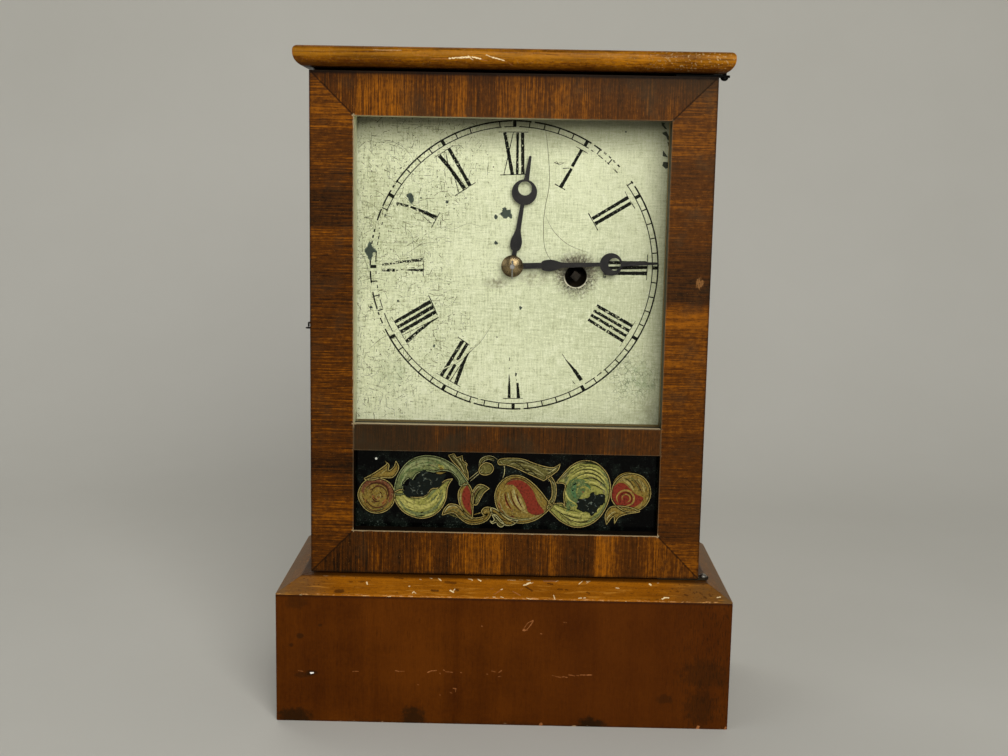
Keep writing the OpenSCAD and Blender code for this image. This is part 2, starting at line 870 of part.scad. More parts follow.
// Lantern pinion: two end discs joined by round bars, which stand between the wheel's teeth
module lantern(at, n, m, y0, y1, disc_t, phase) {
    bar_r = 0.45 * m;
    bar_at = m * n / 2;
    disc_r = bar_at + bar_r + 0.45;
    rod(at, disc_r, y0 - disc_t, y0);
    rod(at, disc_r, y1, y1 + disc_t);
    for (i = [0:n - 1]) {
        a = phase + 360 * i / n;
        rod(at + bar_at * [cos(a), sin(a)], bar_r, y0 - 0.1, y1 + 0.1, 24);
    }
}

function angle_of(v) = atan2(v.y, v.x);

// Plates and what is fixed to them

module rounded_box(low, high, r) {
    translate([low.x + r, low.y]) square([high.x - low.x - 2 * r, high.y - low.y]);
    translate([low.x, low.y + r]) square([high.x - low.x, high.y - low.y - 2 * r]);
    for (x = [low.x + r, high.x - r], y = [low.y + r, high.y - r])
        translate([x, y]) circle(r);
}

module plate_blank() {
    difference() {
        rounded_box(plate_box[0], plate_box[1], 4);
        for (w = window_box)
            rounded_box(w[0], w[1], 3);
        for (p = pillar_at)
            translate(p) circle(pillar_pivot_r + fit_gap);
    }
}

module front_plate() {
    color(brass) union() {
        on_centre(y_plate, y_plate + plate_t) difference() {
            plate_blank();
            circle(arbor_r + run_gap);
            translate(great_at) circle(wind_r + run_gap);
            translate(third_at) circle(pivot_r + run_gap);
            translate(escape_at) circle(arbor_r + 0.8);
            translate(bridge_at) circle(1.1 + fit_gap);
            translate(post_at) circle(1.2 + fit_gap);
        }
        rod(verge_at, stud_r, y_crutch - 1.6, y_plate + 0.1);
        rod(minute_at, stud_r, y_hour - 0.8, y_plate + 0.1);
    }
}

module back_plate() {
    color(brass) on_centre(y_rear, y_rear + plate_t) difference() {
        plate_blank();
        circle(0.8 + run_gap);
        translate(great_at) circle(1.5 + run_gap);
        for (p = [third_at, escape_at])
            translate(p) circle(pivot_r + run_gap);
        for (p = screw_at)
            translate(p) circle(screw_r + fit_gap);
    }
}

// Turned pillar: shouldered ends, a swelling in the middle
module pillar() {
    collar = 0.09 * pillar_l;
    swell = 0.33 * pillar_l;
    rotate([90, 0, 0]) rotate_extrude() {
        translate([0, -plate_t])
            square([pillar_pivot_r, pillar_l + 2 * plate_t + pillar_nut_t + 0.8]);
        square([0.77 * pillar_r, pillar_l]);
        for (y = [0, pillar_l - collar])
            translate([0, y]) square([pillar_r, collar]);
        intersection() {
            translate([0, pillar_l / 2 - swell / 2]) square([pillar_r, swell]);
            translate([pillar_r - swell, pillar_l / 2]) circle(swell);
        }
    }
}

module pillars() {
    $fn = 32;
    color(brass) for (p = pillar_at)
        translate([centre_x + p.x, y_rear, centre_z + p.y]) pillar();
}

module pillar_nuts() {
    color(brass) for (p = pillar_at) difference() {
        rod(p, 1.13 * pillar_r, y_plate - pillar_nut_t, y_plate, 6);
        rod(p, pillar_pivot_r + fit_gap, y_plate - pillar_nut_t - 1, y_plate + 1);
    }
}

module movement_blocks() {
    x0 = centre_x + plate_box[0].x - block_over;
    x1 = centre_x + plate_box[1].x + block_over;
    color(pine) for (z = screw_z) difference() {
        box([x0, y_rear + plate_t, centre_z + z - block_h / 2], [x1, y_board, centre_z + z + block_h / 2]);
        for (p = screw_at)
            rod(p, screw_r + fit_gap, y_rear, y_rear + screw_l + 0.2);
    }
}

// Slotted screws through the back plate into the blocks
module movement_screws() {
    head_t = 1.3;
    color(steel) for (p = screw_at) difference() {
        union() {
            rod(p, 2 * screw_r, y_rear - head_t, y_rear);
            rod(p, screw_r, y_rear - 0.1, y_rear + screw_l);
        }
        translate([centre_x + p.x, y_rear - head_t, centre_z + p.y])
            cube([5 * screw_r, 1.2, 0.7], center = true);
    }
}

// Stand-off cock that carries the escape arbor's front pivot
module escape_bridge() {
    reach = norm(escape_at - bridge_at);
    color(brass) difference() {
        union() {
            rod(bridge_at, 3, y_bridge, y_plate);
            rod(bridge_at, 1.1, y_plate - 0.1, y_plate + plate_t);
            on_centre(y_bridge, y_bridge + bridge_t) union() {
                translate(escape_at) circle(2.6);
                translate(bridge_at) rotate(angle_of(escape_at - bridge_at))
                    translate([0, -2]) square([reach, 4]);
            }
        }
        rod(escape_at, pivot_r + run_gap, y_bridge - 1, y_bridge + bridge_t + 1);
    }
}

// Post with a slit at its end, where the suspension spring hangs
module suspension_post() {
    slit = 0.8;
    color(brass) difference() {
        union() {
            rod(post_at, post_r, y_pendulum - 3.4, y_plate);
            rod(post_at, 1.2, y_plate - 0.1, y_plate + plate_t);
        }
        translate([centre_x + post_at.x - slit / 2, y_pendulum - 4, centre_z + post_at.y - 3])
            cube([slit, 7, 6]);
    }
}

// Spring let down: a spiral that leaves its last turn straight for the pillar and loops round it
spring_hook = pillar_at[2];
spring_line = spring_hook - great_at;
hook_ring_r = pillar_r + 0.3;
spring_end_r = spring_r - hook_ring_r;
spring_end = angle_of(spring_line)
    - acos((spring_end_r + hook_ring_r + spring_t / 2) / norm(spring_line));
spring_start_r = wind_r + 1.2;

function spiral(t, off) =
    let (a = spring_end - 360 * spring_turns * (1 - t),
         r = spring_start_r + (spring_r - spring_start_r) * t + off)
    great_at + r * [cos(a), sin(a)];

module mainspring() {
    steps = 22 * spring_turns;
    path = [for (i = [0:steps]) i / steps];
    start = spiral(1, 0);
    run = spring_hook - start;
    color(steel) on_centre(y_spring, y_spring + spring_w) difference() {
        union() {
            polygon(concat([for (t = path) spiral(t, spring_t / 2)],
                [for (i = [0:steps]) spiral(path[steps - i], -spring_t / 2)]));
            translate(start) rotate(angle_of(run)) translate([-0.1, -spring_t / 2])
                square([norm(run) - hook_ring_r + 0.1, spring_t]);
            translate(spring_hook) circle(hook_ring_r + spring_t);
        }
        translate(spring_hook) circle(hook_ring_r);
    }
}

// Great wheel and winding

module great_wheel() {
    gap_at = angle_of(-great_at) + 180 / great_n;
    stud = great_at + click_far * [cos(click_angle), sin(click_angle)];
    color(brass) union() {
        difference() {
            on_centre(y_great, y_great + great_t) translate(great_at)
                wheel(great_n, great_m, gap_at, 5, great_hub_r, 4);
            rod(great_at, wind_r + run_gap, y_great - 1, y_great + great_t + 1);
        }
        rod(stud, stud_r, y_great + great_t - 0.1, y_ratchet + ratchet_t + 0.3);
    }
}

// Saw teeth that face the click
module ratchet_wheel() {
    step = 360 / ratchet_n;
    color(steel) on_centre(y_ratchet, y_ratchet + ratchet_t) translate(great_at) difference() {
        polygon([
            for (i = [0:ratchet_n - 1], k = [0, 1])
                let (a = click_angle - 32 + step * (i + 0.02 * k), r = ratchet_r - 1.5 * k)
                r * [cos(a), sin(a)]
        ]);
        circle(wind_r + fit_gap);
    }
}

// Click: an eye on the great wheel's stud and a beak, drawn as it rides over the ratchet's teeth
module click() {
    stud = great_at + click_far * [cos(click_angle), sin(click_angle)];
    nose_a = click_angle - 34;
    nose = great_at + (ratchet_r + click_gap) * [cos(nose_a), sin(nose_a)];
    reach = nose - stud;
    across = [-reach.y, reach.x] / norm(reach);
    color(steel) on_centre(y_ratchet, y_ratchet + ratchet_t) difference() {
        union() {
            translate(stud) circle(click_eye_r);
            polygon([stud + click_eye_r * across, stud - click_eye_r * across,
                nose - 0.5 * click_eye_r * across, nose + 0.4 * across]);
        }
        translate(stud) circle(stud_r + run_gap);
        translate(great_at) circle(ratchet_r + click_gap);
    }
}

// Bent strip riveted to the great wheel; its free end lies just off the click's back
module click_spring() {
    foot_a = click_angle + 62;
    foot = great_at + click_far * [cos(foot_a), sin(foot_a)];
    bow_r = click_far + click_eye_r + 0.3;
    spring_t = 0.4;
    y0 = y_great + great_t;
    y1 = y_ratchet + ratchet_t;
    color(brass) union() {
        rod(foot, 1.6, y0, y1);
        on_centre(y0 + 0.5, y1) translate(great_at) {
            intersection() {
                difference() {
                    circle(bow_r + spring_t);
                    circle(bow_r);
                }
                rotate(click_angle - 12) square(2 * bow_r);
            }
            rotate(foot_a) translate([click_far, -0.4]) square([bow_r + spring_t - click_far, 0.4]);
        }
    }
}

module winding_arbor() {
    tip_y = y_dial + wind_sunk;
    color(steel) union() {
        rod(great_at, 1.5, y_rear - 0.3, y_rear + plate_t - end_shake);
        rod(great_at, wind_r, y_plate - 0.8, y_rear - end_shake);
        intersection() {
            translate([centre_x + great_at.x, 0, centre_z + great_at.y]) rotate([0, 45 - wind_angle, 0])
                translate([-square_half, tip_y, -square_half])
                    cube([wind_square, y_plate - tip_y, wind_square]);
            rod(great_at, 1.28 * square_half, tip_y - 1, y_plate);
        }
    }
}

// Centre arbor and the motion work behind the dial

module centre_arbor() {
    color(steel) difference() {
        union() {
            rod([0, 0], 0.8, y_rear - 0.3, y_rear + plate_t - end_shake);
            rod([0, 0], arbor_r, y_arbor_end, y_rear - end_shake);
        }
        rod_z(centre_x, y_taper_pin, centre_z - 3, centre_z + 3, 0.6);
    }
}

module centre_pinion() {
    color(brass) difference() {
        lantern([0, 0], centre_pinion_n, great_m, y_great - 1, y_great + great_t + 1, 1.2,
            angle_of(great_at));
        rod([0, 0], arbor_r + fit_gap, y_great - 4, y_rear);
    }
}

// Wheel with a collet that grips its arbor
module mounted_wheel(at, n, m, phase, bore, y0, t, arms, hub_r, arm_w, collet_r, collet_l) {
    difference() {
        union() {
            on_centre(y0, y0 + t) translate(at) wheel(n, m, phase, arms, hub_r, arm_w);
            rod(at, collet_r, y0 + t - 0.1, y0 + t + collet_l);
        }
        rod(at, bore, y0 - 1, y0 + t + collet_l + 1);
    }
}

module centre_wheel() {
    phase = angle_of(third_at) + 180 / centre_n;
    color(brass) mounted_wheel([0, 0], centre_n, centre_m, phase, arbor_r + fit_gap, y_centre, centre_t,
        4, 4, 2.4, 2.6, 2);
}

module cannon_pinion() {
    y1 = y_cannon + cannon_t;
    color(brass) difference() {
        union() {
            on_centre(y_cannon, y1)
                polygon(gear_points(cannon_n, motion_m, 0.75, 1.25, 0.38, -90));
            rod([0, 0], cannon_pipe_r, y_minute_hand - 0.02, y_cannon + 0.1);
            rod([0, 0], 2.1, y1 - 0.1, y_plate - end_shake);
        }
        rod([0, 0], arbor_r + fit_gap, y_minute_hand - 1, y_plate);
    }
}

module minute_wheel() {
    color(brass) difference() {
        union() {
            on_centre(y_cannon, y_cannon + cannon_t) translate(minute_at) difference() {
                polygon(gear_points(minute_n, motion_m, 0.75, 1.25, 0.38, 90 + 180 / minute_n));
                crossings(3, 3.4, 6.6, 1.6);
            }
            on_centre(y_hour, y_cannon + 0.1) translate(minute_at)
                polygon(gear_points(minute_pinion_n, motion_m, 0.75, 1.25, 0.36, 90));
        }
        rod(minute_at, stud_r + run_gap, y_hour - 1, y_plate);
    }
}

module hour_wheel() {
    color(brass) difference() {
        union() {
            on_centre(y_hour, y_hour + hour_t) difference() {
                polygon(gear_points(hour_n, motion_m, 0.75, 1.25, 0.38, -90 + 180 / hour_n));
                crossings(4, 4.2, 7, 1.8);
            }
            rod([0, 0], hour_pipe_r, y_hour_hand + hand_t + 0.3, y_hour + 0.1);
            rod([0, 0], hour_seat_r, y_hour_hand - 0.2, y_hour);
        }
        rod([0, 0], cannon_pipe_r + run_gap + 0.03, y_hour_hand - 1, y_hour + hour_t + 1);
    }
}

// Third and escape arbors

module train_arbor(at, y0, y1, front_pivot) {
    rod(at, arbor_r - 0.2, y0, y1);
    rod(at, pivot_r, y0 - front_pivot, y0 + 0.1);
    rod(at, pivot_r, y1 - 0.1, y_rear + plate_t - end_shake);
}

module third_arbor() {
    y0 = y_plate + plate_t + end_shake;
    phase = angle_of(-third_at);
    color(steel) union() {
        train_arbor(third_at, y0, y_rear - end_shake, plate_t);
        lantern(third_at, third_pinion_n, centre_m, y_centre - 0.6, y_centre + centre_t + 0.6, 0.9,
            phase);
    }
}

module third_wheel() {
    to_escape = escape_at - third_at;
    color(brass) mounted_wheel(third_at, third_n, third_m, angle_of(to_escape) + 180 / third_n,
        arbor_r - 0.2 + fit_gap, y_third, third_t, 4, 3.4, 2, 2.2, 1.8);
}

module escape_arbor() {
    y0 = y_bridge + bridge_t + end_shake;
    to_third = third_at - escape_at;
    color(steel) union() {
        train_arbor(escape_at, y0, y_rear - end_shake, bridge_t);
        lantern(escape_at, escape_pinion_n, third_m, y_third - 0.6, y_third + third_t + 0.6, 0.9,
            angle_of(to_third));
    }
}

// Slim hooked teeth that lean forward
module escape_wheel() {
    step = 360 / escape_n;
    color(brass) difference() {
        union() {
            on_centre(y_escape, y_escape + escape_t) translate(escape_at) difference() {
                polygon([
                    for (i = [0:escape_n - 1], k = [0:3])
                        let (a = 90 - step * (i + [0, 0.06, 0.34, 0.86][k] - 0.03),
                             r = escape_r - [0, 0, 1.9, 1.9][k])
                        r * [cos(a), sin(a)]
                ]);
                crossings(4, 3.2, escape_r - 3.3, 1.8);
            }
            rod(escape_at, 2, y_bridge + bridge_t + 0.5, y_escape + 0.1);
        }
        rod(escape_at, arbor_r - 0.2 + fit_gap, y_bridge, y_plate);
    }
}

// Bent-strip verge over the escape wheel, with its hub and the crutch wire that guides the pendulum
pallet_angle = 47;
pallet_clear = 1.15;
verge_hub_r = 1.9;

module verge_strip() {
    r = escape_r + pallet_clear;
    outer = r + 1.1;
    low = verge_up - outer * cos(pallet_angle);
    translate(escape_at) difference() {
        intersection() {
            circle(outer);
            polygon([[0, 0], 2 * outer * [sin(pallet_angle), cos(pallet_angle)], [0, 3 * outer],
                2 * outer * [-sin(pallet_angle), cos(pallet_angle)]]);
        }
        circle(r);
    }
    translate(verge_at - [0.9, verge_up - r - 0.3]) square([1.8, verge_up - r - 0.3]);
}

module verge() {
    y_wire = y_crutch;
    reach = y_wire - y_pendulum + 2;
    prong = rod_r + 0.15 + wire_r;
    foot = verge_at - [0, crutch_l];
    color(steel) difference() {
        union() {
            on_centre(y_plate - 3.1, y_plate - 0.6) verge_strip();
            rod(verge_at, verge_hub_r, y_wire - 0.8, y_plate - 0.5);
            rod_z(centre_x + foot.x, y_wire, centre_z + foot.y, centre_z + verge_at.y - 1, wire_r);
            for (side = [-1, 1])
                rod(foot + [side * prong, 0], wire_r, y_wire - reach, y_wire);
            for (y = [y_wire, y_wire - reach])
                rod_x(centre_x + foot.x - prong, centre_x + foot.x + prong, y, centre_z + foot.y, wire_r);
            for (side = [-1, 1], y = [y_wire, y_wire - reach])
                translate([centre_x + foot.x + side * prong, y, centre_z + foot.y]) sphere(wire_r, $fn = 24);
        }
        rod(verge_at, stud_r + run_gap, y_wire - 2, y_plate);
    }
}

// Pendulum

module pendulum_rod() {
    x = centre_x + post_at.x;
    ferrule_z = centre_z + bend_z - spring_free;
    nut_z = centre_z + bob_z - bob_r - 0.6;
    color(steel) union() {
        box([x - 0.12, y_pendulum - 2.5, ferrule_z],
            [x + 0.12, y_pendulum + 2.5, centre_z + post_at.y + 0.6]);
        rod_z(x, y_pendulum, ferrule_z - 2, ferrule_z + 1.5, 1);
        rod_z(x, y_pendulum, nut_z - 3 * nut_t, ferrule_z, rod_r);
        rod_z(x, y_pendulum, nut_z - nut_t, nut_z, 1.15 * nut_t);
    }
}

// Lens-shaped bob, bored for the wire
module pendulum_bob() {
    lens_r = (bob_r ^ 2 + bob_t ^ 2 / 4) / bob_t;
    x = centre_x + post_at.x;
    color(brass) difference() {
        translate([x, y_pendulum, centre_z + bob_z]) rotate([90, 0, 0]) rotate_extrude() intersection() {
            translate([0, lens_r - bob_t / 2]) circle(lens_r, $fn = 128);
            translate([0, bob_t / 2 - lens_r]) circle(lens_r, $fn = 128);
            translate([0, -bob_t]) square([bob_r - 0.3, 2 * bob_t]);
        }
        rod_z(x, y_pendulum, centre_z + bob_z - bob_r - 1, centre_z + bob_z + bob_r + 1, rod_r + fit_gap);
    }
}

plinth_front();
plinth_side_left();
plinth_side_right();
base_moulding_front();
base_moulding_left();
base_moulding_right();
glue_blocks();
case_floor();
case_side_left();
case_side_right();
back_board();
top_board();
door_top_rail();
door_bottom_rail();
door_mid_rail();
door_stile_left();
door_stile_right();
dial_glass();
tablet_glass();
glazing_beads();
hinge_straps();
hinge_nails();
hinge_pins();
door_eye();
hook_pin();
latch_hook();
dial_plate();
dial_cleats();
dial_pins();
front_plate();
back_plate();
pillars();
pillar_nuts();
movement_blocks();
movement_screws();
escape_bridge();
suspension_post();
mainspring();
great_wheel();
click_spring();
click();
winding_arbor();
ratchet_wheel();
centre_arbor();
centre_wheel();
centre_pinion();
cannon_pinion();
minute_hand();
hand_washer();
taper_pin();
minute_wheel();
hour_wheel();
hour_hand();
third_arbor();
third_wheel();
escape_arbor();
escape_wheel();
verge();
pendulum_rod();
pendulum_bob();
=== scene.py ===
import math
import random

import bmesh
import bpy
from mathutils import Matrix, Vector
from mathutils.geometry import tessellate_polygon


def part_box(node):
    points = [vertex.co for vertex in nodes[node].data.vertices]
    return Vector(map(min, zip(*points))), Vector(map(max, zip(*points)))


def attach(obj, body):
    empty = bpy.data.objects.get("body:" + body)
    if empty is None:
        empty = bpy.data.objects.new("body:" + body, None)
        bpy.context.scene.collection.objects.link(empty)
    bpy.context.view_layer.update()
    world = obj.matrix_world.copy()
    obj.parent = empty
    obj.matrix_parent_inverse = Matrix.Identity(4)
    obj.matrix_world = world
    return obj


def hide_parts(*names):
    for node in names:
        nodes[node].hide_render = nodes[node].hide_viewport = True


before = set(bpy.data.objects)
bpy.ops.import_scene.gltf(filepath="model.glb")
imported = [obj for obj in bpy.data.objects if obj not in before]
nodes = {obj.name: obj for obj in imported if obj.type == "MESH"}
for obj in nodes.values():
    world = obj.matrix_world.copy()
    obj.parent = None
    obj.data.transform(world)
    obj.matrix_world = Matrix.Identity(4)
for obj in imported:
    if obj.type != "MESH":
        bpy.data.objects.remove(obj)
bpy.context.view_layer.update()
mm = 0.001
print("frame loaded:", len(nodes), "nodes")


def shade(red, green, blue):  # 0 to 255 as seen on a screen, turned linear for the shader
    return tuple(((c / 255 + 0.055) / 1.055) ** 2.4 if c > 10 else c / 3294 for c in (red, green, blue)) + (1,)


class Flow:  # one socket, so that node sums are written like sums
    def __init__(self, bench, socket):
        self.bench = bench
        self.socket = socket

    def sum(self, operation, *parts):
        return self.bench.node("ShaderNodeMath", {"operation": operation}, dict(enumerate(parts)))

    def __add__(self, other):
        return self.sum("ADD", self, other)

    def __radd__(self, other):
        return self.sum("ADD", other, self)

    def __sub__(self, other):
        return self.sum("SUBTRACT", self, other)

    def __rsub__(self, other):
        return self.sum("SUBTRACT", other, self)

    def __mul__(self, other):
        return self.sum("MULTIPLY", self, other)

    def __rmul__(self, other):
        return self.sum("MULTIPLY", other, self)

    def __truediv__(self, other):
        return self.sum("DIVIDE", self, other)

    def __rtruediv__(self, other):
        return self.sum("DIVIDE", other, self)

    def __pow__(self, other):
        return self.sum("POWER", self, other)

    def __rpow__(self, other):
        return self.sum("POWER", other, self)

    def __lt__(self, other):
        return self.sum("LESS_THAN", self, other)

    def __gt__(self, other):
        return self.sum("GREATER_THAN", self, other)

    def atLeast(self, other):
        return self.sum("MAXIMUM", self, other)

    def atMost(self, other):
        return self.sum("MINIMUM", self, other)

    def size(self):
        return self.sum("ABSOLUTE", self)

    def fade(self, low, high, start=0.0, end=1.0):  # smooth step from start to end
        return self.bench.node("ShaderNodeMapRange", {"interpolation_type": "SMOOTHSTEP"},
                               {"Value": self, "From Min": low, "From Max": high, "To Min": start, "To Max": end})


class Bench:  # a node tree in the making
    def __init__(self, tree):
        self.tree = tree
        self.tree.nodes.clear()

    def node(self, kind, settings={}, sockets={}, out=0):
        made = self.tree.nodes.new(kind)
        for key, value in settings.items():
            if key == "stops":
                ramp = made.color_ramp
                while len(ramp.elements) < len(value):
                    ramp.elements.new(0.5)
                for stop, (position, colour) in zip(ramp.elements, value):
                    stop.position = position
                    stop.color = colour
            else:
                setattr(made, key, value)
        for key, value in sockets.items():
            for part in value if isinstance(value, list) else [value]:
                if isinstance(part, Flow):
                    self.tree.links.new(part.socket, made.inputs[key])
                elif part is not None:
                    made.inputs[key].default_value = part
        return Flow(self, made.outputs[out] if made.outputs else None)


class Finish(Bench):  # a material; its place is Object coordinates in mm
    def __init__(self, name):
        self.material = bpy.data.materials.new(name)
        self.material.use_nodes = True
        super().__init__(self.material.node_tree)
        place = self.node("ShaderNodeTexCoord", out="Object")
        self.place = self.node("ShaderNodeVectorMath", {"operation": "SCALE"}, {0: place, "Scale": 1000.0})
        self.x = self.node("ShaderNodeSeparateXYZ", {}, {0: self.place}, "X")
        self.y = Flow(self, self.x.socket.node.outputs["Y"])
        self.z = Flow(self, self.x.socket.node.outputs["Z"])

    def stretch(self, scale, shift=(0, 0, 0)):  # the place in mm, times a scale for each axis
        return self.node("ShaderNodeVectorMath", {"operation": "MULTIPLY_ADD"}, {0: self.place, 1: scale, 2: shift})

    def noise(self, scale, detail=3.0, rough=0.5, shift=(0, 0, 0), bend=0.0):
        return self.node("ShaderNodeTexNoise", {}, {"Vector": self.stretch(scale, shift), "Scale": 1.0, "Detail": detail,
                                                    "Roughness": rough, "Distortion": bend})

    def net(self, scale, shift):  # how far from the cracks of a crazed coat
        place = self.stretch(scale, shift)
        return self.node("ShaderNodeTexVoronoi", {"feature": "DISTANCE_TO_EDGE"}, {"Vector": place, "Scale": 1.0}, "Distance")

    def ramp(self, value, stops):
        return self.node("ShaderNodeValToRGB", {"stops": stops}, {0: value})

    def tint(self, amount, first, second):
        return self.node("ShaderNodeMix", {"data_type": "RGBA", "clamp_factor": True}, {0: amount, 6: first, 7: second}, 2)

    def away(self, x, z, wide=1.0, tall=1.0):  # how far from a place on the front, in half widths
        off = self.stretch((1 / wide, 0, 1 / tall), (-x / wide, 0, -z / tall))
        return self.node("ShaderNodeVectorMath", {"operation": "LENGTH"}, {0: off}, "Value")

    def scratched(self, marks, tone, push=0.6, tall=1.0):  # how much of one tone's scratches is here, from the front
        place = self.stretch((1.1, 1.1, 1.1))
        sway = self.node("ShaderNodeTexNoise", {}, {"Vector": place, "Scale": 1.0, "Detail": 4.0}, "Color")
        flat = self.stretch((1, 0, tall), (-push / 2, 0, -push / 2))
        flat = self.node("ShaderNodeVectorMath", {"operation": "MULTIPLY_ADD"}, {0: sway, 1: (push, 0, push), 2: flat})
        total = None
        for x1, z1, x2, z2, wide, strength, which in marks:
            if which != tone:
                continue
            run = Vector((x2 - x1, 0, (z2 - z1) * tall))
            off = self.node("ShaderNodeVectorMath", {"operation": "SUBTRACT"}, {0: flat, 1: (x1, 0, z1 * tall)})
            slope = run / max(run.length_squared, 1e-4)
            share = self.node("ShaderNodeVectorMath", {"operation": "DOT_PRODUCT"}, {0: off, 1: slope}, "Value")
            share = self.node("ShaderNodeClamp", {}, {"Value": share})
            nearest = self.node("ShaderNodeVectorMath", {"operation": "SCALE"}, {0: run, "Scale": share})
            apart = self.node("ShaderNodeVectorMath", {"operation": "DISTANCE"}, {0: off, 1: nearest}, "Value")
            mark = apart.fade(wide * 1.25, wide * 0.55, 0, strength)
            total = mark if total is None else total.atLeast(mark)
        return total

    def bump(self, height, depth):  # depth in mm
        return self.node("ShaderNodeBump", {}, {"Strength": 1.0, "Distance": depth * mm, "Height": height})

    def surface(self, colour, rough=0.5, **more):
        sockets = {"Base Color": colour, "Roughness": rough}
        sockets.update({key.replace("_", " "): value for key, value in more.items()})
        return self.node("ShaderNodeBsdfPrincipled", {}, sockets)

    def done(self, shader):
        self.node("ShaderNodeOutputMaterial", {}, {"Surface": shader})
        return self.material


class Recipe(Bench):  # a geometry tree with named sizes, in mm, laid out flat and then stood up on the clock
    def __init__(self, name, sizes):
        super().__init__(bpy.data.node_groups.new(name, "GeometryNodeTree"))
        self.name = name
        self.tree.interface.new_socket("Geometry", in_out="OUTPUT", socket_type="NodeSocketGeometry")
        self.values = {}
        for label, value in sizes.items():
            kind = "NodeSocketInt" if isinstance(value, int) else "NodeSocketFloat"
            made = self.tree.interface.new_socket(label, in_out="INPUT", socket_type=kind)
            self.values[made.identifier] = value
        self.given = self.tree.nodes.new("NodeGroupInput")

    def asked(self, label):
        return Flow(self, self.given.outputs[label])

    def chance(self, low, high, seed, kind="FLOAT"):
        keys = (0, 1) if kind == "FLOAT_VECTOR" else (2, 3)
        return self.node("FunctionNodeRandomValue", {"data_type": kind}, {keys[0]: low, keys[1]: high, "Seed": seed},
                         0 if kind == "FLOAT_VECTOR" else 1)

    def noise(self, place, scale, seed=0.0, detail=3.0):
        lifted = self.node("ShaderNodeCombineXYZ", {}, {"Z": seed})
        moved = self.node("ShaderNodeVectorMath", {"operation": "ADD"}, {0: place, 1: lifted})
        return self.node("ShaderNodeTexNoise", {}, {"Vector": moved, "Scale": scale, "Detail": detail})

    def turned(self, angle):
        euler = self.node("ShaderNodeCombineXYZ", {}, {"Z": angle})
        return self.node("FunctionNodeEulerToRotation", {}, {"Euler": euler})

    def grown(self, geometry, middle, turn, material, body, slotName):  # the result as a plain mesh on its body
        moved = self.node("GeometryNodeTransform", {}, {"Geometry": geometry, "Translation": Vector(middle) * mm,
                                                        "Rotation": (math.pi / 2, turn, 0), "Scale": (mm, mm, mm)})
        whole = self.node("GeometryNodeRealizeInstances", {}, {"Geometry": moved})
        painted = self.node("GeometryNodeSetMaterial", {}, {"Geometry": whole, "Material": material})
        self.node("NodeGroupOutput", {}, {"Geometry": painted})
        holder = bpy.data.objects.new(self.name, bpy.data.meshes.new(self.name))
        bpy.context.scene.collection.objects.link(holder)
        growth = holder.modifiers.new("growth", "NODES")
        growth.node_group = self.tree
        for key, value in self.values.items():
            growth[key] = value
        plain = bpy.data.meshes.new_from_object(holder.evaluated_get(bpy.context.evaluated_depsgraph_get()))
        holder.modifiers.clear()
        holder.data = plain
        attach(holder, body)
        return holder


def cover(names, material):  # gives CAD nodes their finish
    for name in names.split():
        target = nodes[name]
        target.data.materials.clear()
        target.data.materials.append(material)


def newPiece(name, bm, material, body, instead=None):
    mesh = bpy.data.meshes.new(name)
    bm.to_mesh(mesh)
    bm.free()
    piece = bpy.data.objects.new(name, mesh)
    bpy.context.scene.collection.objects.link(piece)
    mesh.materials.append(material)
    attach(piece, body)
    if instead:
        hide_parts(instead)
    return piece


def softenEdges(name, material, body, wide):  # the same board with its sharp edges worn round
    bm = bmesh.new()
    bm.from_mesh(nodes[name].data)
    bmesh.ops.remove_doubles(bm, verts=bm.verts, dist=1e-6)
    bmesh.ops.dissolve_limit(bm, angle_limit=0.005, verts=bm.verts, edges=bm.edges)
    sharp = [edge for edge in bm.edges if len(edge.link_faces) == 2 and edge.calc_face_angle() > 0.6]
    bmesh.ops.bevel(bm, geom=sharp, offset=wide * mm, segments=2, profile=0.6, affect="EDGES", clamp_overlap=True)
    return newPiece(name + "_worn", bm, material, body, name)


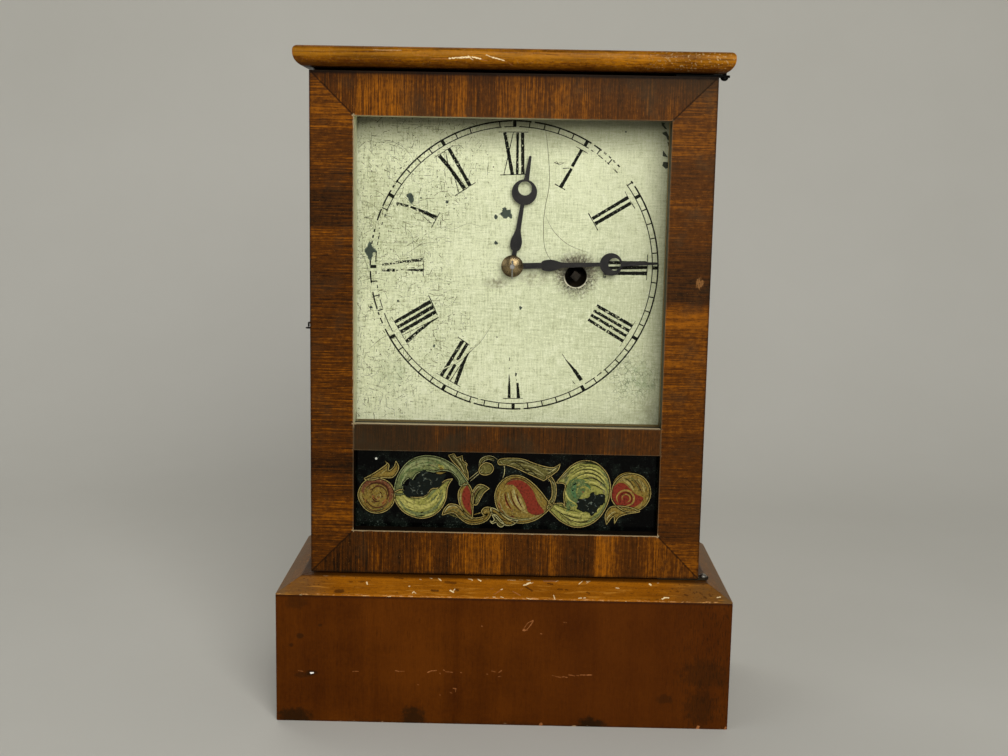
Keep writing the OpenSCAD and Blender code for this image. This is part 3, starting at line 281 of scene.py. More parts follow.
veneer = {
    "dark": shade(30, 16, 4), "middle": shade(82, 42, 4), "light": shade(160, 92, 6), "core": shade(92, 56, 26),
    "coreDark": shade(56, 32, 14), "dust": shade(226, 224, 188), "joint": shade(22, 12, 4), "hazeAndSheen": shade(112, 94, 66),
    "fibre": 1.5, "figure": 0.12, "gloss": 0.45, "shine": 0.04, "round": 0.35,
    "rubbed": (95.2, 230.3, 2.2, 3.2),  # place, half width and half height of the pale patch
}
railTones = {  # place along the rail in mm and how light the leaf is there
    "door_top_rail": ((-104, .24), (-84, .49), (-76, .6), (-61, .8), (-56, .66), (-51, .74), (-47, .44), (-41, .52), (-31, .57),
                      (-26, .78), (-23, .74), (-22, .36), (-4, .44), (-1, .68), (9, .7), (13, .54), (23, .7), (28, .54),
                      (34, .62), (39, .49), (48, .49), (53, .36), (58, .49), (84, .44), (104, .29)),
    "door_mid_rail": ((-80, .08), (-72, .02), (-52, .02), (-44, .02), (-42, .24), (-32, .36), (-29, .2), (-24, .1),
                      (-21, .34), (-5, .36), (0, .1), (5, .24), (12, .4), (28, .28), (30, .16), (43, .2), (50, .4),
                      (60, .44), (72, .4), (80, .24)),
    "door_bottom_rail": ((-104, .2), (-90, .14), (-72, .16), (-62, .36), (-57, .14), (-46, .32), (-41, .5), (-31, .2),
                         (-26, .42), (-21, .66), (-10, .68), (-4, .74), (-1, .46), (12, .34), (20, .4), (24, .62),
                         (30, .46), (31, .2), (46, .2), (47, .84), (56, .78), (60, .5), (68, .36), (74, .6), (88, .56)),
    "door_stile_left": ((76, .4), (95, .36), (103, .5), (114, .55), (119, .4), (128, .34), (130, .04), (137, .08),
                        (141, .34), (150, .4), (155, .28), (162, .42), (184, .48), (186, .34), (203, .44), (215, .32),
                        (241, .3), (250, .54), (254.5, .6), (255, .1), (264, .06), (273, .12), (274.5, .5), (276, .34),
                        (287, .5), (297, .44), (305, .54), (312, .7), (331, .5)),
    "door_stile_right": ((76, .6), (93, .66), (95, .5), (99, .2), (120, .4), (148, .36), (152, .33), (153, .55), (180, .61),
                         (203, .67), (209, .85), (215, .79), (219.6, .56), (220, .06), (230, .1), (246, .25), (250, .45),
                         (262, .39), (268, .57), (287, .39), (293, .61), (300, .65), (307, .55), (319, .67), (331, .45)),
}
doorParts = ("stile_left", "stile_right", "top_rail", "bottom_rail", "mid_rail")
doorBoxes = [[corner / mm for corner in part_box("door_" + part)] for part in doorParts]
leftStile, rightStile, topRail, bottomRail, midRail = doorBoxes
doorLow, doorHigh = leftStile[0], rightStile[1]
openLeft, openRight, openLow, openHigh = leftStile[1].x, rightStile[0].x, bottomRail[1].z, topRail[0].z


def jointLine(f):  # the dark glue lines of the four mitres
    nearest = None
    for x, z, inX, inZ in ((doorLow.x, doorHigh.z, openLeft, openHigh), (doorHigh.x, doorHigh.z, openRight, openHigh),
                           (doorLow.x, doorLow.z, openLeft, openLow), (doorHigh.x, doorLow.z, openRight, openLow)):
        along = Vector((inX - x, inZ - z))
        reach, across = along.length, Vector((-along.y, along.x)).normalized()
        run = along.normalized()
        off = ((f.x - x) * across.x + (f.z - z) * across.y).size()
        past = (((f.x - x) * run.x + (f.z - z) * run.y) - reach).atLeast(0)
        far = off + past * 3
        nearest = far if nearest is None else nearest.atMost(far)
    return nearest


def doorGrimeAndShade(f, name, colour, fleck, fine):  # old polish, dull; hazy to the right, partly a painted sheen; painted shadow along the top, black under the top board
    dull = f.noise((0.05, 0.05, 0.05), 3, 0.6, (4, 1, 8)).fade(0.5, 0.7)
    grime = dull * 0.4 + f.x.fade(-20, -50, 0.3, 0.6) if name == "door_mid_rail" else dull * 0.3
    colour = f.tint(grime, colour, shade(50, 39, 24))
    # hazy polish towards the top right, partly a painted sheen
    hazeAndSheen = f.x.fade(-110, 100, 0.3, 1) * f.z.fade(150, 330, 0.25, 1) * (dull * 0.3 + fleck * 0.7)
    colour = f.tint(hazeAndSheen * 0.22, colour, veneer["hazeAndSheen"])
    top = doorHigh.z
    # painted shadow of the top board: darker along the top of the door, more so towards the right, near black just
    # under the board
    colour = f.tint(f.z.fade(top - 9, top) * 0.5, colour, shade(34, 16, 4))
    colour = f.tint(f.x.fade(15, 90) * f.z.fade(top - 22, top - 3) * 0.5, colour, shade(52, 42, 28))
    colour = f.tint((f.z + (fleck - 0.5) * 1.5).fade(top - 2.2, top - 0.8) * 0.85, colour, shade(8, 5, 3))
    if name == "door_stile_right":  # where a hand has rubbed the veneer pale beside the dial
        patch = f.away(*veneer["rubbed"]) + (f.noise((0.5, 0.5, 0.3), 3, 0.6, (1, 1, 7)) - 0.5) * 2.6
        holes = f.noise((1.1, 1, 0.9), 3, 0.7, (5, 1, 2)).fade(0.36, 0.48)
        colour = f.tint(patch.fade(1.05, 0.6) * holes * (0.4 + fine * 0.5), colour, shade(150, 104, 58))
    return colour


def doorLedges(f, name, colour, fleck, coreLine):  # worn sills round the panes, and the core wood behind the leaf
    sill = (f.x - openLeft).size().atMost((f.x - openRight).size())
    for level in (openLow, midRail[0].z, midRail[1].z, openHigh):
        sill = sill.atMost((f.z - level).size())
    inDoor = (f.x - openLeft + 1).atMost(openRight + 1 - f.x).atMost(f.z - openLow + 1).atMost(openHigh + 1 - f.z).fade(0, 0.2)
    upper = f.z.fade(midRail[1].z - 3, midRail[1].z)
    where = (f.x - openLeft).size().fade(2, 0.6) * 0.6 * upper + (f.z - openLow).size().fade(2, 0.6) * 0.6 + 0.12
    worn = (sill + (fleck - 0.5) * 0.9).fade(0.5, 0.2) * inDoor
    colour = f.tint(worn * where, colour, shade(176, 154, 116))
    core = f.tint(coreLine.fade(0.35, 0.65), veneer["coreDark"], veneer["core"])
    if name == "door_mid_rail":
        ledge = f.tint(f.y.fade(-36.6, -35.8), shade(204, 184, 150), shade(56, 46, 26))
    else:  # dusty round the dial only, and less at the right, so the wall that faces the light is painted paler than the shaded one: dust and painted light
        dust = upper * (fleck * 0.5 + 0.6) * f.x.fade(0, 60, 1, 0.08)
        ledge = f.tint(dust, shade(24, 17, 9), veneer["dust"])
    lip = f.y.fade(-30.6, -31.2) * inDoor  # the little ledges in front of the panes
    front = f.y.fade(-38.9, -39.5)
    return f.tint(front, f.tint(lip, core, ledge), colour)


def veneerFinish(name, upright):
    f = Finish(name + "_veneer")
    low, high = [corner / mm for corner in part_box(name)]
    along, first, last = (f.x, low.x, high.x) if upright else (f.z, low.z, high.z)
    across = Vector((1, 1, 0.02)) if upright else Vector((0.02, 1, 1))
    wobble = f.noise((0.06, 0.06, 0.06), 3, 0.6) * 3 - 1.5
    stops = [(min(max((p - first) / (last - first), 0), 1), (t, t, t, 1)) for p, t in railTones[name]]
    leaf = f.ramp((along + wobble - first) / (last - first), stops)
    broad = f.noise(across * veneer["figure"], 4, 0.6, (7, 3, 1))
    lines = f.noise(across * 1.05, 4, 0.65, (2, 8, 5))
    fine = f.noise(Vector([c if c == 1 else 0.06 for c in across]) * veneer["fibre"], 3, 0.65, (1, 5, 2))
    pores = f.noise(Vector([c if c == 1 else 0.12 for c in across]) * 3.2, 2, 0.5, (9, 2, 4)).fade(0.56, 0.66)
    fleck = f.noise((0.4, 0.4, 0.4), 4, 0.6)
    calm = f.x.fade(-60, 100, 1, 0.7)  # the grain shows less towards the right
    grain = (lines - 0.5) * calm * 1.5 + (fine - 0.5) * calm * 1.2
    tone = leaf * 0.75 + (broad - 0.5) * 0.45 + grain + (fleck - 0.5) * 0.6 + 0.12
    colour = f.ramp(tone, [(0, veneer["dark"]), (0.5, veneer["middle"]), (1, veneer["light"])])
    colour = f.tint(pores * 0.5, colour, shade(16, 8, 2))
    glint = f.noise((2.2, 2.2, 2.2), 2, 0.6, (3, 3, 9)).fade(0.67, 0.73)
    colour = f.tint(glint * 0.6, colour, shade(196, 138, 66))
    colour = doorGrimeAndShade(f, name, colour, fleck, fine)
    joint = (jointLine(f) + (fleck - 0.5) * 0.7).fade(0.55, 0.2)
    colour = f.tint(joint * 0.7, colour, veneer["joint"])
    rim = (f.x - doorLow.x).atMost(doorHigh.x - f.x).atMost(f.z - doorLow.z).atMost(doorHigh.z - f.z)
    colour = f.tint((rim + (fleck - 0.5) * 2).fade(1.4, 0.1) * 0.6, colour, shade(30, 20, 10))
    coreAcross = Vector((0.02, 1, 1)) if upright else Vector((1, 1, 0.02))
    colour = doorLedges(f, name, colour, fleck, f.noise(coreAcross * 0.5, 4, 0.6, (5, 5, 5)))
    rough = veneer["gloss"] + (fleck - 0.5) * 0.3
    height = fine * 0.6 - pores * 0.5 - joint
    return f.done(f.surface(colour, rough, Normal=f.bump(height, 0.05), Specular_IOR_Level=veneer["shine"]))


for railName in railTones:
    softenEdges(railName, veneerFinish(railName, railName.endswith("rail")), "door", veneer["round"])
print("door veneer done")

polish = {
    "plinth": (shade(60, 25, 1), shade(94, 46, 3)), "bevel": (shade(122, 68, 6), shade(176, 106, 14)),
    "top": (shade(88, 48, 0), shade(186, 116, 8)), "case": (shade(54, 27, 6), shade(98, 52, 12)),
    "stain": shade(26, 18, 6),
}
scratchTones = {
    "pale": shade(250, 226, 176), "rust": shade(164, 104, 58), "white": shade(255, 250, 240), "dark": shade(62, 30, 8),
    "dull": shade(140, 112, 96),
}
topScratches = (  # both ends, half width, strength and tone
    (-48.5, 338.8, -41.8, 338.9, 0.24, 0.45, "rust"), (-40.3, 337.2, -31.1, 337.5, 0.2, 0.6, "rust"),
    (-31.5, 337.6, -25.2, 338.2, 0.34, 1, "pale"), (-26.7, 338, -21.4, 338.4, 0.37, 1, "pale"),
    (-22.3, 338.8, -20.1, 337.2, 0.24, 1, "pale"), (-20.4, 338.4, -16, 337.6, 0.32, 1, "pale"),
    (-16.5, 337.5, -12.9, 336.8, 0.2, 0.8, "rust"), (-13.6, 339.4, -9.2, 338.2, 0.22, 0.8, "pale"),
    (-10.2, 338.4, -4.9, 337.1, 0.3, 1, "pale"), (-5.3, 337.1, -3.4, 336.4, 0.2, 0.6, "rust"),
    (-2.7, 336.1, -0.9, 335, 0.2, 0.4, "rust"), (-68.5, 341, -54.9, 341, 0.2, 0.25, "pale"),
)
bevelChips = (
    (-93.8, 74.8, -91.7, 74.8, 0.3, 0.7, "pale"), (-84.9, 74.9, -82.8, 74.9, 0.33, 0.6, "pale"),
    (-71, 72.9, -70.7, 72.1, 0.33, 0.9, "pale"), (-49.1, 71.8, -48.8, 71.8, 0.33, 0.8, "pale"),
    (-46.9, 69.5, -46.3, 70, 0.25, 0.8, "pale"), (-46.3, 70, -45.2, 69.4, 0.25, 0.8, "pale"),
    (-59.6, 67.9, -58.1, 68, 0.34, 1, "pale"), (-104.4, 68, -103.4, 68, 0.33, 0.6, "pale"),
    (-72.1, 68.1, -70.6, 68.1, 0.25, 0.5, "pale"), (-47.6, 68.3, -46.6, 68.4, 0.25, 0.5, "pale"),
    (-43.7, 74.2, -43.2, 74.1, 0.29, 0.4, "pale"), (-86, 69.5, -83, 69.7, 1.27, 0.75, "dark"),
    (-79.8, 72.9, -78.8, 72.9, 0.61, 0.5, "dark"), (-74.1, 73, -72.6, 73, 0.61, 0.5, "dark"),
    (-56.8, 74.6, -52.6, 74.4, 0.51, 0.7, "dark"), (-69.3, 74.8, -67.8, 74.7, 0.46, 0.5, "dark"),
    (-38.6, 74.8, -37.6, 74.6, 0.37, 0.9, "pale"), (-34.2, 74.7, -32.7, 73.9, 0.29, 0.8, "pale"),
    (-30.2, 73.4, -25.5, 73.2, 0.92, 0.6, "dark"), (-37.1, 70.5, -34.2, 70.4, 0.77, 0.75, "dark"),
    (-27.6, 70.6, -26, 70.1, 0.45, 1, "pale"), (-26.2, 70.3, -25.3, 71.2, 0.29, 0.7, "pale"),
    (-24.8, 71, -23.7, 70.7, 0.66, 0.7, "dark"), (-18.4, 74.8, -17.3, 74.7, 0.53, 1, "pale"),
    (-17.6, 75, -16.6, 74.3, 0.29, 0.8, "pale"), (-13.9, 74.8, -12.1, 74, 0.34, 1, "pale"),
    (-9.5, 75, -8.2, 74.9, 0.34, 0.55, "pale"), (-4.1, 74.9, -2.3, 74.9, 0.22, 0.5, "pale"),
    (1.9, 74.6, 5.5, 74.6, 0.34, 0.35, "pale"), (7.8, 74.9, 9.4, 74.7, 0.25, 0.5, "pale"),
    (11.8, 74.8, 13.2, 74.8, 0.45, 1, "pale"), (10, 72.9, 12.3, 73.3, 0.33, 1, "pale"),
    (11.8, 73.4, 13.6, 73.8, 0.45, 1, "pale"), (13.8, 73.5, 14.9, 73.9, 0.21, 0.5, "pale"),
    (11.3, 72.3, 14.4, 71.1, 0.56, 0.7, "dark"), (-5.1, 69.6, -3.4, 70.3, 0.21, 0.7, "rust"),
    (-3.5, 70.3, -1.2, 71.4, 0.26, 0.9, "rust"), (-1.6, 71.3, -1, 71.4, 0.33, 0.8, "pale"),
    (4.4, 70.8, 6.1, 70.2, 0.25, 0.8, "rust"), (5.9, 70.3, 8.4, 69.4, 0.26, 0.9, "rust"),
    (-5.6, 68.7, -4.6, 68.7, 0.29, 0.6, "pale"), (-1.5, 68.8, -0.3, 68.6, 0.29, 0.6, "pale"),
    (11.6, 68.6, 14.4, 68.2, 0.26, 0.8, "pale"), (8.7, 71.3, 9.5, 71.7, 0.29, 0.5, "rust"),
    (-7, 71.4, -5.7, 71.5, 0.25, 0.45, "rust"), (21.1, 74.9, 26.8, 74.9, 1.27, 0.4, "dull"),
    (22.6, 73.7, 25, 73.5, 0.51, 0.75, "dark"), (26.8, 74.4, 27.8, 74.7, 0.22, 0.6, "pale"),
    (25.5, 69.7, 26.1, 68.3, 0.29, 0.7, "pale"), (27.8, 71.8, 29.8, 71.7, 0.56, 0.6, "dark"),
    (31.6, 71.7, 32.7, 71.6, 0.46, 0.6, "dark"), (38.2, 68.9, 39.7, 69, 0.3, 0.8, "pale"),
    (40.6, 69, 41.8, 69.1, 0.26, 0.7, "pale"), (38.7, 73.7, 40.8, 74.9, 0.25, 0.9, "pale"),
    (42.8, 74.7, 44.4, 74.8, 0.47, 1, "pale"), (42.7, 74, 43.5, 74.3, 0.25, 0.6, "pale"),
    (42.7, 70.9, 43.7, 70.6, 0.51, 0.6, "dark"), (57.7, 72.7, 59.3, 72.5, 0.3, 0.6, "pale"),
    (75.2, 74.2, 75.8, 73.9, 0.51, 1, "pale"), (79.4, 74.6, 79.9, 74.6, 0.33, 0.5, "pale"),
    (81, 69.2, 82.6, 69.7, 0.37, 1, "pale"), (82.1, 69.7, 84.3, 69.7, 0.38, 1, "pale"),
    (109.3, 70.1, 110.9, 70.3, 0.33, 0.8, "pale"), (50.7, 67.9, 51.4, 67.3, 0.22, 0.6, "pale"),
    (54, 67.8, 54.3, 67, 0.22, 0.6, "pale"), (62.4, 68.1, 62.6, 67.4, 0.22, 0.6, "pale"),
    (77.9, 69.1, 78.9, 69.1, 0.41, 0.6, "dark"), (88.6, 71.9, 89.6, 71.8, 0.51, 0.5, "dark"),
    (93, 70.8, 94, 70.5, 0.61, 0.6, "dark"), (100.8, 71.4, 101.8, 71, 0.51, 0.5, "dark"),
    (102.7, 70.2, 103.6, 69.8, 0.61, 0.6, "dark"), (97.3, 71.7, 98, 71.3, 0.46, 0.5, "dark"),
    (105.4, 71.1, 106.3, 70.4, 0.51, 0.5, "dark"), (93, 74, 95.1, 73.8, 0.51, 0.4, "dark"),
)
plinthScratches = (
    (-105.4, 27.3, -103, 27, 0.26, 0.4, "rust"), (-99, 26.2, -97.8, 26.3, 0.42, 1, "white"),
    (-77.4, 27.5, -74.4, 27.6, 0.21, 0.55, "rust"), (-55.2, 28.3, -53.4, 28.1, 0.25, 0.7, "rust"),
    (-53.9, 28.1, -50.8, 28.1, 0.2, 0.45, "rust"), (-38.6, 27.8, -36.9, 28.7, 0.29, 0.9, "rust"),
    (-37.1, 28.6, -34.1, 29, 0.21, 0.8, "rust"), (-30.4, 29.2, -30, 29, 0.3, 0.6, "rust"),
    (-29.5, 28.4, -25.7, 28.1, 0.22, 0.5, "rust"), (-32.3, 27.5, -32, 27.2, 0.29, 0.5, "rust"),
    (-43.8, 21.1, -43.3, 21.1, 0.26, 0.5, "rust"), (-25.4, 19.5, -23.9, 19.2, 0.38, 0.6, "rust"),
    (-24.1, 19.1, -24.1, 17.5, 0.22, 0.4, "rust"), (-32.3, 15.7, -31.9, 15.7, 0.26, 0.4, "rust"),
    (-27, 17.2, -25.9, 16.9, 0.3, 0.3, "rust"), (-11.2, 53.4, -10.7, 53.2, 0.34, 0.5, "rust"),
    (19.1, 50, 19.7, 49.8, 0.35, 0.6, "rust"), (-5.6, 29.3, -3.7, 28.8, 0.22, 0.5, "rust"),
    (-2, 28.5, -0.6, 29.6, 0.29, 0.6, "rust"), (-2.1, 26.4, -0.9, 26.4, 0.25, 0.5, "rust"),
    (-8.2, 27.6, -7.7, 27.6, 0.29, 0.35, "rust"), (25.5, 27.6, 27.6, 27.1, 0.2, 0.3, "rust"),
    (27.8, 27, 30.2, 26.6, 0.22, 0.45, "rust"), (30.9, 26.9, 33.3, 26.7, 0.29, 0.65, "rust"),
    (34, 28.1, 37.1, 27.6, 0.25, 0.65, "rust"), (38.1, 27.9, 39.2, 27.8, 0.26, 0.6, "rust"),
    (40.1, 28.1, 42.3, 28.1, 0.3, 0.8, "rust"), (43.1, 28.1, 45.9, 28.3, 0.32, 0.85, "rust"),
    (30.8, 56.2, 32.4, 56, 0.26, 0.35, "rust"), (-21.7, 28.1, -20.9, 28, 0.25, 0.5, "rust"),
    (10, 51.4, 10.9, 52, 0.3, 0.9, "rust"), (10.6, 51.2, 12.2, 51.8, 0.25, 0.9, "rust"),
    (11.9, 51.7, 14.3, 54.8, 0.2, 0.85, "rust"), (14.1, 54.5, 15.3, 56.7, 0.21, 0.9, "rust"),
    (10.1, 51.9, 12.4, 55.4, 0.2, 0.7, "rust"), (12.3, 55.3, 15.1, 56.9, 0.2, 0.8, "rust"),
    (20.2, 0.3, 20.5, 1.1, 0.8, 0.9, "rust"), (101.6, 0.3, 101.9, 1.3, 0.8, 1, "rust"),
    (116, 0.3, 116.2, 1.1, 0.7, 0.9, "rust"),
)
plinthStains = (  # place, half width, half height and strength
    (-108, 2, 10, 6, .9), (-46, 2.5, 7, 8, .9), (46, 1, 9, 5, 1), (104, 30, 14, 9, .5), (84, 16, 5, 3, .5),
    (102, 12, 9, 12, .5), (-106, 64, 7, 4, .4), (-104, 46, 2.4, 2, .7), (-109, 41, 1.6, 1.4, .7), (-94, 52, 1.2, 1, .6),
    (-98.5, 26.3, 3.4, 1.6, .8), (0, -1, 150, 3, .4), (-103, 25, 5, 1.6, .5),
)
edgeHeights = {"bevelSeam": 67.8, "bevelEdge": 68.3, "topSeam": 333.7}  # where dirt lies, where polish has worn off, and where the top board's underside is painted into shadow


def grainOf(f, grain, coarse=0.12, fibre=1.3):
    across = Vector([0.03 if axis == grain else 1.0 for axis in "xyz"])
    broad = f.noise(across * coarse, 4, 0.55, bend=0.4)
    fine = f.noise(across * fibre, 3, 0.6, (4, 4, 4))
    pores = f.noise(across * 4.5, 2, 0.5, (9, 2, 4)).fade(0.58, 0.7)
    return broad, fine, pores


def boardFinish(name, tones, grain, gloss, shine=0.05, patchy=1.0, extra=None, streaky=1.2, fibrous=0.7, dusty=None):
    f = Finish(name)
    broad, fine, pores = grainOf(f, grain)
    patch = f.noise((0.03, 0.03, 0.03), 3, 0.55)
    mottle = f.noise((0.5, 0.5, 0.5), 4, 0.65, (8, 8, 1))
    tone = (broad - 0.5) * streaky + (fine - 0.5) * fibrous + (patch - 0.5) * patchy + (mottle - 0.5) * 0.5 + 0.5
    colour = f.tint(tone.fade(0, 1), tones[0], tones[1])
    colour = f.tint(pores * 0.4, colour, tuple(c * 0.4 for c in tones[0][:3]) + (1,))
    if extra:
        colour = extra(f, colour)
    rough = gloss + (patch - 0.5) * 0.2
    if dusty:  # dust lies on everything above this height
        lying = f.z.fade(dusty - 0.5, dusty - 0.1)
        colour = f.tint(lying * (mottle * 0.4 + 0.1), colour, shade(172, 156, 128))
        rough = rough + lying * 0.45
    return f.done(f.surface(colour, rough, Normal=f.bump(fine - pores, 0.04), Specular_IOR_Level=shine))


def plinthMarks(f, colour):  # scratches, a bruise and damp stains on the front
    front = f.y.fade(-53.6, -53.9)
    warm = f.x.fade(-20, 60)
    colour = f.tint(warm * 0.35, colour, shade(74, 34, 6))
    for x, z, wide, tall, deep in plinthStains:
        reach = f.away(x, z, wide, tall) + (f.noise((0.3, 0.3, 0.3), 4, 0.65, (x, 0, z)) - 0.5) * 1.6
        colour = f.tint(reach.fade(1.1, 0.5) * front * (0.8 * deep), colour, polish["stain"])
    ends = f.noise((1.4, 1, 0.22), 4, 0.65, (3, 3, 2)).fade(0.5, 0.62) * f.x.fade(70, 112) * front
    colour = f.tint(ends * 0.5, colour, polish["stain"])
    ragged = f.noise((1.3, 1, 1.3), 3, 0.7, (4, 4, 1)).fade(0.36, 0.5)
    for tone, there in (("rust", ragged), ("white", 1)):
        colour = f.tint(f.scratched(plinthScratches, tone) * front * there, colour, scratchTones[tone])
    dusty = f.noise((0.9, 1, 0.9), 3, 0.6, (5, 5, 5)).fade(0.73, 0.78)
    colour = f.tint(dusty * 0.4, colour, shade(170, 112, 70))
    foot = f.z.fade(1.6, 0.2) * f.noise((0.2, 0.2, 1), 3, 0.6, (1, 2, 8)).fade(0.66, 0.7)
    colour = f.tint(foot * 0.8, colour, shade(190, 160, 120))
    seam = (f.z - edgeHeights["bevelSeam"]).size().fade(1.6, 0.4)
    return f.tint(seam * 0.6, colour, shade(40, 16, 2))


def bevelMarks(f, colour):  # chips in the polish, bruises and dull corners, and the side bevels painted greyer as a painted sheen
    mottle = f.noise((0.25, 0.25, 0.25), 4, 0.65, (7, 3, 3))
    dull = f.x.fade(-84, -106).atLeast(f.x.fade(78, 104))
    colour = f.tint(dull * (mottle * 0.8 + 0.35), colour, shade(104, 72, 34))
    freckle = f.noise((0.8, 1.2, 1.5), 3, 0.6, (1, 8, 3)).fade(0.6, 0.68)
    colour = f.tint(freckle * f.x.size().fade(20, 96, 0.25, 0.9), colour, shade(64, 36, 12))
    scuff = f.noise((0.07, 0.6, 1.2), 3, 0.6, (2, 9, 1)).fade(0.56, 0.68)
    colour = f.tint(scuff * 0.45, colour, shade(206, 140, 50))
    # painted sheen: the side bevels are painted greyer
    sideways = f.x.size().fade(111, 113)
    colour = f.tint(sideways * 0.5, colour, shade(110, 84, 52))
    for tone in ("dark", "dull", "rust", "pale"):
        colour = f.tint(f.scratched(bevelChips, tone, 0.9, 1.9) * f.y.fade(-42.2, -43.2), colour, scratchTones[tone])
    hair = f.noise((0.35, 1, 1), 4, 0.7, (2, 0, 5)).fade(0.5, 0.6)
    arris = (f.z - edgeHeights["bevelEdge"] + (mottle - 0.5) * 0.8).size().fade(0.42, 0.15) * hair
    colour = f.tint(arris * 0.75, colour, shade(214, 156, 96))
    return f.tint(f.z.fade(74.2, 74.9) * 0.7, colour, shade(46, 20, 4))


def topMarks(f, colour):  # scratches and grime on the front moulding, pale specks that are partly a painted highlight, a painted highlight band, and painted shade along the underside
    grime = f.noise((0.18, 0.5, 0.8), 4, 0.7, (2, 2, 2)).fade(0.48, 0.66)
    colour = f.tint(grime * 0.6, colour, shade(74, 36, 0))
    streak = f.noise((0.05, 0.6, 1.6), 4, 0.65, (6, 1, 3)).fade(0.5, 0.6)
    colour = f.tint(streak * 0.45, colour, shade(52, 26, 0))
    # pale specks, more towards the right: partly dust, partly a painted highlight
    specks = f.noise((0.9, 0.9, 0.9), 3, 0.6, (8, 2, 6)).fade(0.56, 0.66)
    colour = f.tint(specks * f.x.fade(30, 118, 0.1, 0.8), colour, shade(186, 158, 112))
    red = f.noise((0.35, 0.8, 1.2), 4, 0.7, (5, 5, 9)).fade(0.45, 0.6) * f.z.fade(340, 336)
    colour = f.tint(red * 0.55, colour, shade(84, 36, 2))
    dots = f.noise((0.7, 0.7, 0.7), 3, 0.6, (3, 9, 6)).fade(0.64, 0.7)
    colour = f.tint(dots * 0.6, colour, shade(60, 26, 2))
    colour = f.tint(f.x.size().fade(98, 116) * 0.35, colour, shade(74, 48, 20))
    # painted highlight: a lighter band along the upper part of the moulding
    band = f.z.fade(336, 339) * f.z.fade(342.6, 340.4) * f.noise((0.03, 0.4, 1.0), 4, 0.6, (9, 3, 3)).fade(0.35, 0.6)
    colour = f.tint(band * 0.35, colour, shade(206, 140, 34))
    # painted shade: darker towards the underside of the moulding, near black below the seam
    colour = f.tint(f.z.fade(336.5, 333) * 0.7, colour, shade(50, 20, 2))
    seam = edgeHeights["topSeam"]
    colour = f.tint(f.z.fade(seam, seam - 0.9) * 0.95, colour, shade(7, 5, 3))
    front = f.y.fade(-40, -43)
    ragged = f.noise((1.6, 1.6, 1.6), 3, 0.7, (4, 4, 1)).fade(0.34, 0.48)
    for tone in ("rust", "pale"):
        colour = f.tint(f.scratched(topScratches, tone, 0.9) * front * ragged, colour, scratchTones[tone])
    return colour


plinthPolish = boardFinish("plinth_polish", polish["plinth"], "z", 0.42, 0.04, 1.0, plinthMarks, 0.5, 0.25)
bevelPolish = boardFinish("bevel_polish", polish["bevel"], "x", 0.4, 0.08, 0.8, bevelMarks)
for part in ("front", "side_left", "side_right"):
    softenEdges("plinth_" + part, plinthPolish, "case", 0.5)
for part in ("front", "left", "right"):
    softenEdges("base_moulding_" + part, bevelPolish, "case", 0.35)
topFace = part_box("top_board")[1].z / mm
topPolish = boardFinish("top_polish", polish["top"], "x", 0.32, 0.07, 0.9, topMarks, dusty=topFace)
softenEdges("top_board", topPolish, "case", 0.3)
casePolish = boardFinish("case_polish", polish["case"], "z", 0.42)
for part in ("left", "right"):
    softenEdges("case_side_" + part, casePolish, "case", 0.3)

pine = {"early": shade(196, 152, 92), "late": shade(140, 92, 42), "grime": shade(92, 66, 36), "rings": 11.0}


def pineFinish(grain):  # flat-sawn board: rings cut long, with darker late wood
    f = Finish("pine_along_" + grain)
    long = Vector([0.07 if axis == grain else 1.0 for axis in "xyz"])
    rings = f.noise(long * 0.022, 1.5, 0.45, (3, 8, 2)) * pine["rings"] + f.noise(long * 0.6, 2, 0.5) * 0.12
    late = rings.sum("PINGPONG", rings, 0.5).fade(0.2, 0.5)
    fine = f.noise(Vector([0.03 if axis == grain else 1.0 for axis in "xyz"]) * 2.2, 3, 0.6, (4, 1, 4))
    colour = f.tint(late * 0.75 + (fine - 0.5) * 0.6, pine["early"], pine["late"])
    dirt = f.noise((0.02, 0.02, 0.02), 4, 0.6, (1, 1, 6))
    colour = f.tint(dirt.fade(0.45, 0.75) * 0.6, colour, pine["grime"])
    return f.done(f.surface(colour, 0.65 + (dirt - 0.5) * 0.2, Normal=f.bump(fine + late * 0.4, 0.06), Specular_IOR_Level=0.15))


cover("glue_blocks back_board dial_cleats movement_blocks", pineFinish("z"))
cover("case_floor", pineFinish("x"))


def beadFinish():  # pale and dusty round the dial, the left face painted paler still as lit wood, dark round the tablet
    f = Finish("bead_wood")
    mottle = f.noise((0.4, 0.4, 0.4), 4, 0.65)
    colour = f.tint(mottle.fade(0.3, 0.7), shade(158, 138, 98), shade(126, 104, 68))
    # painted light: the bead's face at the left of the dial, which faces the lamp, is painted pale cream
    colour = f.tint((f.x - openLeft).size().fade(1.2, 0.6), colour, shade(224, 226, 188))
    colour = f.tint(f.z.fade(160, 157) * 0.8, colour, shade(104, 88, 52))
    low = f.tint(mottle.fade(0.3, 0.7), shade(34, 27, 18), shade(60, 46, 30))
    colour = f.tint(f.z.fade(midRail[0].z, midRail[1].z), low, colour)
    return f.done(f.surface(colour, 0.7, Specular_IOR_Level=0.1))


cover("glazing_beads", beadFinish())
print("boards done")

